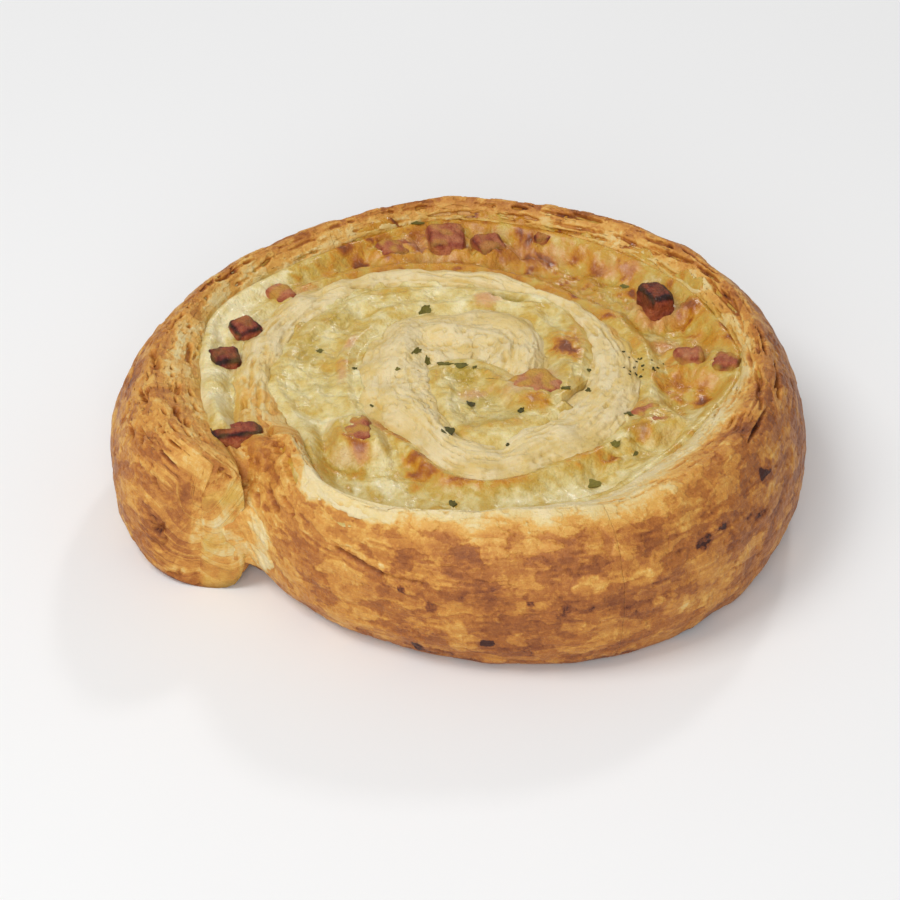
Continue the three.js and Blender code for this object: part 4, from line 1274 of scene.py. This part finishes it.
def finish_filling(skin, edge):
    at = (skin.x, skin.y, 0 * skin.z)
    room = smoothstep(edge, 0, 1.8)
    ragged = 0.4 * noise(at, (1.5, 1.5, 1.5), 81) + 0.2 * noise(at, (0.7, 0.7, 0.7), 84)
    lumps = 0.6 * layered_noise(at, (3.2, 3.2, 3.2), 82, 3) + 0.5 * noise(at, (8, 8, 8), 83)
    wrinkles = 0.18 * (1 - np.abs(layered_noise(at, (4.4, 4.4, 4.4), 87, 3)) * 2.4)
    lumps = lumps * (1 + 0.9 * smoothstep(skin.base_toast, 0.4, 0.6))
    left_inside = smoothstep(skin.w, 366, 385) * (1 - smoothstep(skin.w, 470, 500))
    folds = 0.8 * left_inside * layered_noise((skin.along, skin.across, 0 * skin.z), (18, 2.6, 9), 90, 2)
    rise = plan_dabs(skin, LUMPS, ragged) + ham_rise(skin)
    bulge = (lumps + wrinkles + folds) * lerp(0.16, 1, room) + rise * lerp(0.3, 1, room)
    skin.z = skin.z + skin.top * bulge
    skin.z = np.clip(skin.z, 0, HIGHEST_TOPPING)
    blisters = smoothstep(layered_noise(at, (3.4, 3.4, 3.4), 88, 3), 0.1, 0.55)
    curds = smoothstep(layered_noise(at, (5.0, 5.0, 5.0), 89, 3), 0.0, 0.5)
    toast = skin.base_toast + plan_dabs(skin, TOASTED, ragged) - plan_dabs(skin, PALE_CHEESE, ragged)
    toast = toast + 0.42 * blisters * smoothstep(skin.base_toast, 0.2, 0.5)
    toast = toast + 0.1 * lumps - 0.14 * curds - 0.16 * folds
    skin.paint["toast"] = np.clip(toast, 0, 1)
    skin.paint["oil"] = np.clip(plan_dabs(skin, OILY, ragged), 0, 0.9)
    skin.paint["blush"] = np.clip(plan_dabs(skin, BLUSH, ragged) + 0.25 * ham_rise(skin), 0, 0.7)
    skin.paint["gloss"] = np.clip(0.3 + 1.2 * (toast - 0.25) + skin.paint["oil"], 0, 1)


class SWIRL_OT_filling(bpy.types.Operator):
    """Builds the melted cheese between the turns and the pool of it in the eye."""

    bl_idname = "swirl.filling"
    bl_label = "Cheese filling"

    def execute(self, context):
        material = filling_material(context.scene.swirl_colours)
        hosts = [surface_tree(context.scene.objects[name]) for name in DOUGH_PIECES]
        sizes = context.scene.swirl_sizes
        strip = filling_skin(hosts, sizes.film_reach / MM, sizes.film_thickness / MM)
        for name, (skin, edge) in (("filling_strip", strip), ("eye_pool", pool_skin())):
            finish_filling(skin, edge)
            piece = pool_mesh(name, skin) if name == "eye_pool" else skin_mesh(name, skin)
            face_out(piece)
            finish_piece(piece, "cheese_filling", material, "cheese_filling")
        return {"FINISHED"}


# The pool's skin closes on itself round the eye, so its ends are joined.
def pool_mesh(name, skin):
    stations, rows = skin.z.shape
    points = skin.points().reshape(-1, 3)
    top_middle = points.reshape(stations, rows, 3)[:, rows - 3].mean(0)
    base_middle = np.array([top_middle[0], top_middle[1], 0.0])
    points = np.concatenate([points, [top_middle, base_middle]]) * MM
    faces = []
    for s in range(stations):
        ahead = (s + 1) % stations
        for k in range(rows - 3):
            faces.append((s * rows + k, ahead * rows + k, ahead * rows + k + 1, s * rows + k + 1))
        faces.append((s * rows + rows - 3, ahead * rows + rows - 3, stations * rows))
        faces.append((s * rows, s * rows + rows - 1, ahead * rows + rows - 1, ahead * rows))
        faces.append((s * rows + rows - 1, stations * rows + 1, ahead * rows + rows - 1))
    piece = new_piece(name, points, faces)
    for label, values in skin.paint.items():
        middles = [values[:, rows - 3].mean(), 0]
        paint_points(piece.data, label, np.concatenate([values.reshape(-1), middles]))
    return piece


def face_out(piece):
    deselect_all()
    bpy.context.view_layer.objects.active = piece
    piece.select_set(True)
    bpy.ops.object.mode_set(mode="EDIT")
    bpy.ops.mesh.select_all(action="SELECT")
    bpy.ops.mesh.delete_loose()
    bpy.ops.mesh.select_all(action="SELECT")
    bpy.ops.mesh.normals_make_consistent(inside=False)
    bpy.ops.object.mode_set(mode="OBJECT")


class SWIRL_OT_ham(bpy.types.Operator):
    """Builds the cubes of ham that are sunk into the top."""

    bl_idname = "swirl.ham"
    bl_label = "Ham cubes"

    def execute(self, context):
        material = ham_material(context.scene.swirl_colours)
        for number, cube in enumerate(HAM_CUBES):
            piece = ham_cube(number, cube, context.scene.swirl_sizes.ham_height / MM)
            slot = "charred_ham" if "charred" in cube[0] or "crease" in cube[0] else "ham"
            finish_piece(piece, slot, material, "ham_" + cube[0])
        return {"FINISHED"}


def ham_cube(number, cube, cube_height):
    name, x, y, top, width, depth, turn, charred, glazed = cube
    deselect_all()
    bpy.ops.mesh.primitive_cube_add(size=2)
    piece = bpy.context.object
    piece.name = "ham_cube_" + name
    bpy.ops.object.mode_set(mode="EDIT")
    bpy.ops.mesh.subdivide(number_cuts=24)
    bpy.ops.object.mode_set(mode="OBJECT")
    mesh = piece.data
    unit = np.empty(len(mesh.vertices) * 3)
    mesh.vertices.foreach_get("co", unit)
    unit = unit.reshape(-1, 3)
    half = np.array([width, depth, cube_height]) / 2
    local = rounded_chunk(number, unit) * half
    away = [local[:, i] + 40 * number for i in range(3)]
    fibres = layered_noise(away, (0.8, 2.2, 0.8), 95, 3)
    dents = layered_noise(away, (2.6, 2.6, 2.6), 94, 2)
    outward = local / np.linalg.norm(local, axis=1, keepdims=True)
    local = local + (0.2 * fibres + 0.6 * dents)[:, None] * outward
    east, north = turned(local[:, 0], local[:, 1], turn)
    up = np.minimum(top - cube_height / 2 + local[:, 2], HIGHEST_TOPPING)
    placed = np.stack([x + east, y + north, up], -1)
    mesh.vertices.foreach_set("co", ((placed + EYE) * MM).reshape(-1))
    sides_met = np.sort(np.abs(unit), axis=1)[:, 1]
    edge = smoothstep(sides_met, 0.6, 1.0)
    upper = smoothstep(unit[:, 2], 0.1, 1.0)
    char = 0.1 + 0.62 * charred + (0.1 + 0.5 * charred) * edge * upper + 0.1 * upper + 0.14 * fibres
    glaze = (0.2 + glazed) * smoothstep(noise(away, (2.4, 2.4, 2.4), 99), -0.2, 0.4) * (1 - charred)
    paint_points(mesh, "char", np.clip(char, 0, 1))
    paint_points(mesh, "glaze", np.clip(glaze, 0, 0.85))
    bpy.ops.object.shade_smooth()
    return piece


# A cube's corners moved about and its edges eased, for each piece of ham in its own way.
def rounded_chunk(number, unit):
    chance = np.random.default_rng(300 + number)
    power = 4.2
    size = (np.abs(unit) ** power).sum(1) ** (1 / power)
    eased = unit / size[:, None] * np.abs(unit).max(1)[:, None]
    moved = 0 * eased
    for corner in range(8):
        side = np.array([corner & 1, corner >> 1 & 1, corner >> 2 & 1]) * 2 - 1
        weight = np.prod((1 + side * eased) / 2, axis=1)
        moved += weight[:, None] * side * (1.2 - chance.uniform(0, 0.36, 3))
    return moved


class SWIRL_OT_herbs(bpy.types.Operator):
    """Lays the dried herb flakes on the dough and the cheese."""

    bl_idname = "swirl.herbs"
    bl_label = "Herb flakes"

    def execute(self, context):
        hosts = [surface_tree(context.scene.objects[name]) for name in TOP_PIECES]
        thickness = context.scene.swirl_sizes.flake_thickness
        spots = enumerate(HERB_FLAKES + pepper_grains())
        flakes = [herb_flake(i, flake, hosts, thickness) for i, flake in spots]
        deselect_all()
        for flake in flakes:
            flake.select_set(True)
        context.view_layer.objects.active = flakes[0]
        bpy.ops.object.join()
        herbs = context.object
        herbs.name = "herb_flakes"
        finish_piece(herbs, "baked_dough", herb_material(context.scene.swirl_colours), "pastry")
        return {"FINISHED"}


def pepper_grains():
    (x, y), reach, count = PEPPER
    chance = np.random.default_rng(8)
    grains = []
    for _ in range(count):
        size = chance.uniform(0.25, 0.7)
        east, north = chance.normal(0, reach / 2, 2)
        grains.append((x + east, y + north, size, 0.6 * size, chance.uniform(0, 180), 0.9))
    return grains


DOUGH_PIECES = ["outer_turn_" + part for part in OUTER_TURN_PARTS] + ["inner_turns"]
TOP_PIECES = DOUGH_PIECES + ["filling_strip", "eye_pool"]


def surface_tree(piece):
    mesh = piece.data
    return BVHTree.FromPolygons([v.co for v in mesh.vertices], [p.vertices for p in mesh.polygons])


# Highest place of some surfaces over a point of the plan, with its normal.
def lie_on(hosts, x, y):
    above = Vector((x, y, LOOK_FROM))
    hits = [tree.ray_cast(above, DOWN) for tree in hosts]
    hits = [hit for hit in hits if hit[0] is not None]
    if not hits:
        raise RuntimeError("a flake lies on nothing")
    return max(hits, key=lambda hit: hit[0].z)


def herb_flake(number, flake, hosts, thickness):
    x, y, length, width, turn, dark = flake
    spot, normal, _, _ = lie_on(hosts, (x + EYE[0]) * MM, (y + EYE[1]) * MM)
    deselect_all()
    bpy.ops.mesh.primitive_circle_add(vertices=14, radius=1, fill_type="TRIFAN")
    piece = bpy.context.object
    mesh = piece.data
    chance = np.random.default_rng(100 + number)
    basis = normal.to_track_quat("Z", "Y")
    for vertex in mesh.vertices:
        u, v = vertex.co.x, vertex.co.y
        ragged = 1 + chance.uniform(-0.35, 0.2)
        u, v = u * ragged * length / 2, v * ragged * width / 2 * (1 - 0.35 * u)
        lift = 0.12 + 0.25 * v * v + 0.08 * chance.uniform(-1, 1)
        vertex.co = spot + (basis @ Vector((*turned(u, v, turn), lift))) * MM
    solid = piece.modifiers.new("thickness", "SOLIDIFY")
    solid.thickness = thickness
    bpy.ops.object.modifier_apply(modifier=solid.name)
    paint_points(mesh, "dark", np.full(len(mesh.vertices), dark))
    return piece


FLOOR_SIZE = 6.0
ROOM_LIGHT = 0.42
# Area lights: name, place and size in metres, power in watts.
LIGHTS = [
    ("key_light", (-0.5, -0.25, 0.95), 0.5, 5.0),
    ("front_light", (-0.1, -1.1, 0.6), 0.7, 6.5),
    ("back_light", (0.3, 0.9, 0.8), 0.12, 2.0),
]


class SWIRL_OT_stage(bpy.types.Operator):
    """Adds the pale floor, the soft studio lights and the camera."""

    bl_idname = "swirl.stage"
    bl_label = "Stage"

    def execute(self, context):
        deselect_all()
        bpy.ops.mesh.primitive_plane_add(size=FLOOR_SIZE, location=(0, 0, 0))
        floor = context.object
        floor.name = "floor"
        floor.data.materials.append(floor_material())
        add_camera(context)
        for light in LIGHTS:
            add_light(*light)
        world = bpy.data.worlds.new("soft_room")
        world.use_nodes = True
        background = world.node_tree.nodes["Background"]
        background.inputs["Color"].default_value = (1, 1, 1, 1)
        background.inputs["Strength"].default_value = ROOM_LIGHT
        context.scene.world = world
        context.scene.view_settings.view_transform = "Standard"
        return {"FINISHED"}


CAMERA_TARGET = (-0.0015, -0.0104, 0.014)
CAMERA_DISTANCE = 0.52
CAMERA_ELEVATION = 35.0
CAMERA_LENS = 122.8
CAMERA_SENSOR = 36.0


def add_camera(context):
    tilt = math.radians(CAMERA_ELEVATION)
    target = Vector(CAMERA_TARGET)
    spot = target + Vector((0, -math.cos(tilt), math.sin(tilt))) * CAMERA_DISTANCE
    bpy.ops.object.camera_add(location=spot, rotation=(math.radians(90) - tilt, 0, 0))
    camera = context.object
    camera.data.lens = CAMERA_LENS
    camera.data.sensor_width = CAMERA_SENSOR
    camera.data.clip_start = 0.01
    context.scene.camera = camera


def add_light(name, spot, size, power):
    bpy.ops.object.light_add(type="AREA", location=spot)
    light = bpy.context.object
    light.name = name
    light.data.size = size
    light.data.energy = power
    light.rotation_euler = (-Vector(spot)).to_track_quat("-Z", "Y").to_euler()


class SWIRL_PT_panel(bpy.types.Panel):
    bl_label = "Pastry swirl"
    bl_idname = "SWIRL_PT_panel"
    bl_space_type = "VIEW_3D"
    bl_region_type = "UI"
    bl_category = "Swirl"

    def draw(self, context):
        for operator in OPERATORS:
            self.layout.operator(operator.bl_idname)
        for settings in (context.scene.swirl_sizes, context.scene.swirl_colours):
            for name in type(settings).__annotations__:
                self.layout.prop(settings, name)


OPERATORS = [
    SWIRL_OT_stage, SWIRL_OT_outer_turn, SWIRL_OT_inner_turns, SWIRL_OT_bridges, SWIRL_OT_filling,
    SWIRL_OT_ham, SWIRL_OT_herbs,
]
CLASSES = [SwirlSizes, SwirlColours, *OPERATORS, SWIRL_PT_panel]


def register():
    for made in CLASSES:
        bpy.utils.register_class(made)
    bpy.types.Scene.swirl_sizes = bpy.props.PointerProperty(type=SwirlSizes)
    bpy.types.Scene.swirl_colours = bpy.props.PointerProperty(type=SwirlColours)


def unregister():
    del bpy.types.Scene.swirl_sizes
    del bpy.types.Scene.swirl_colours
    for made in reversed(CLASSES):
        bpy.utils.unregister_class(made)


def main():
    register()
    bpy.ops.swirl.stage()
    bpy.ops.swirl.outer_turn()
    bpy.ops.swirl.inner_turns()
    bpy.ops.swirl.bridges()
    bpy.ops.swirl.filling()
    bpy.ops.swirl.ham()
    bpy.ops.swirl.herbs()


if __name__ == "__main__":
    main()
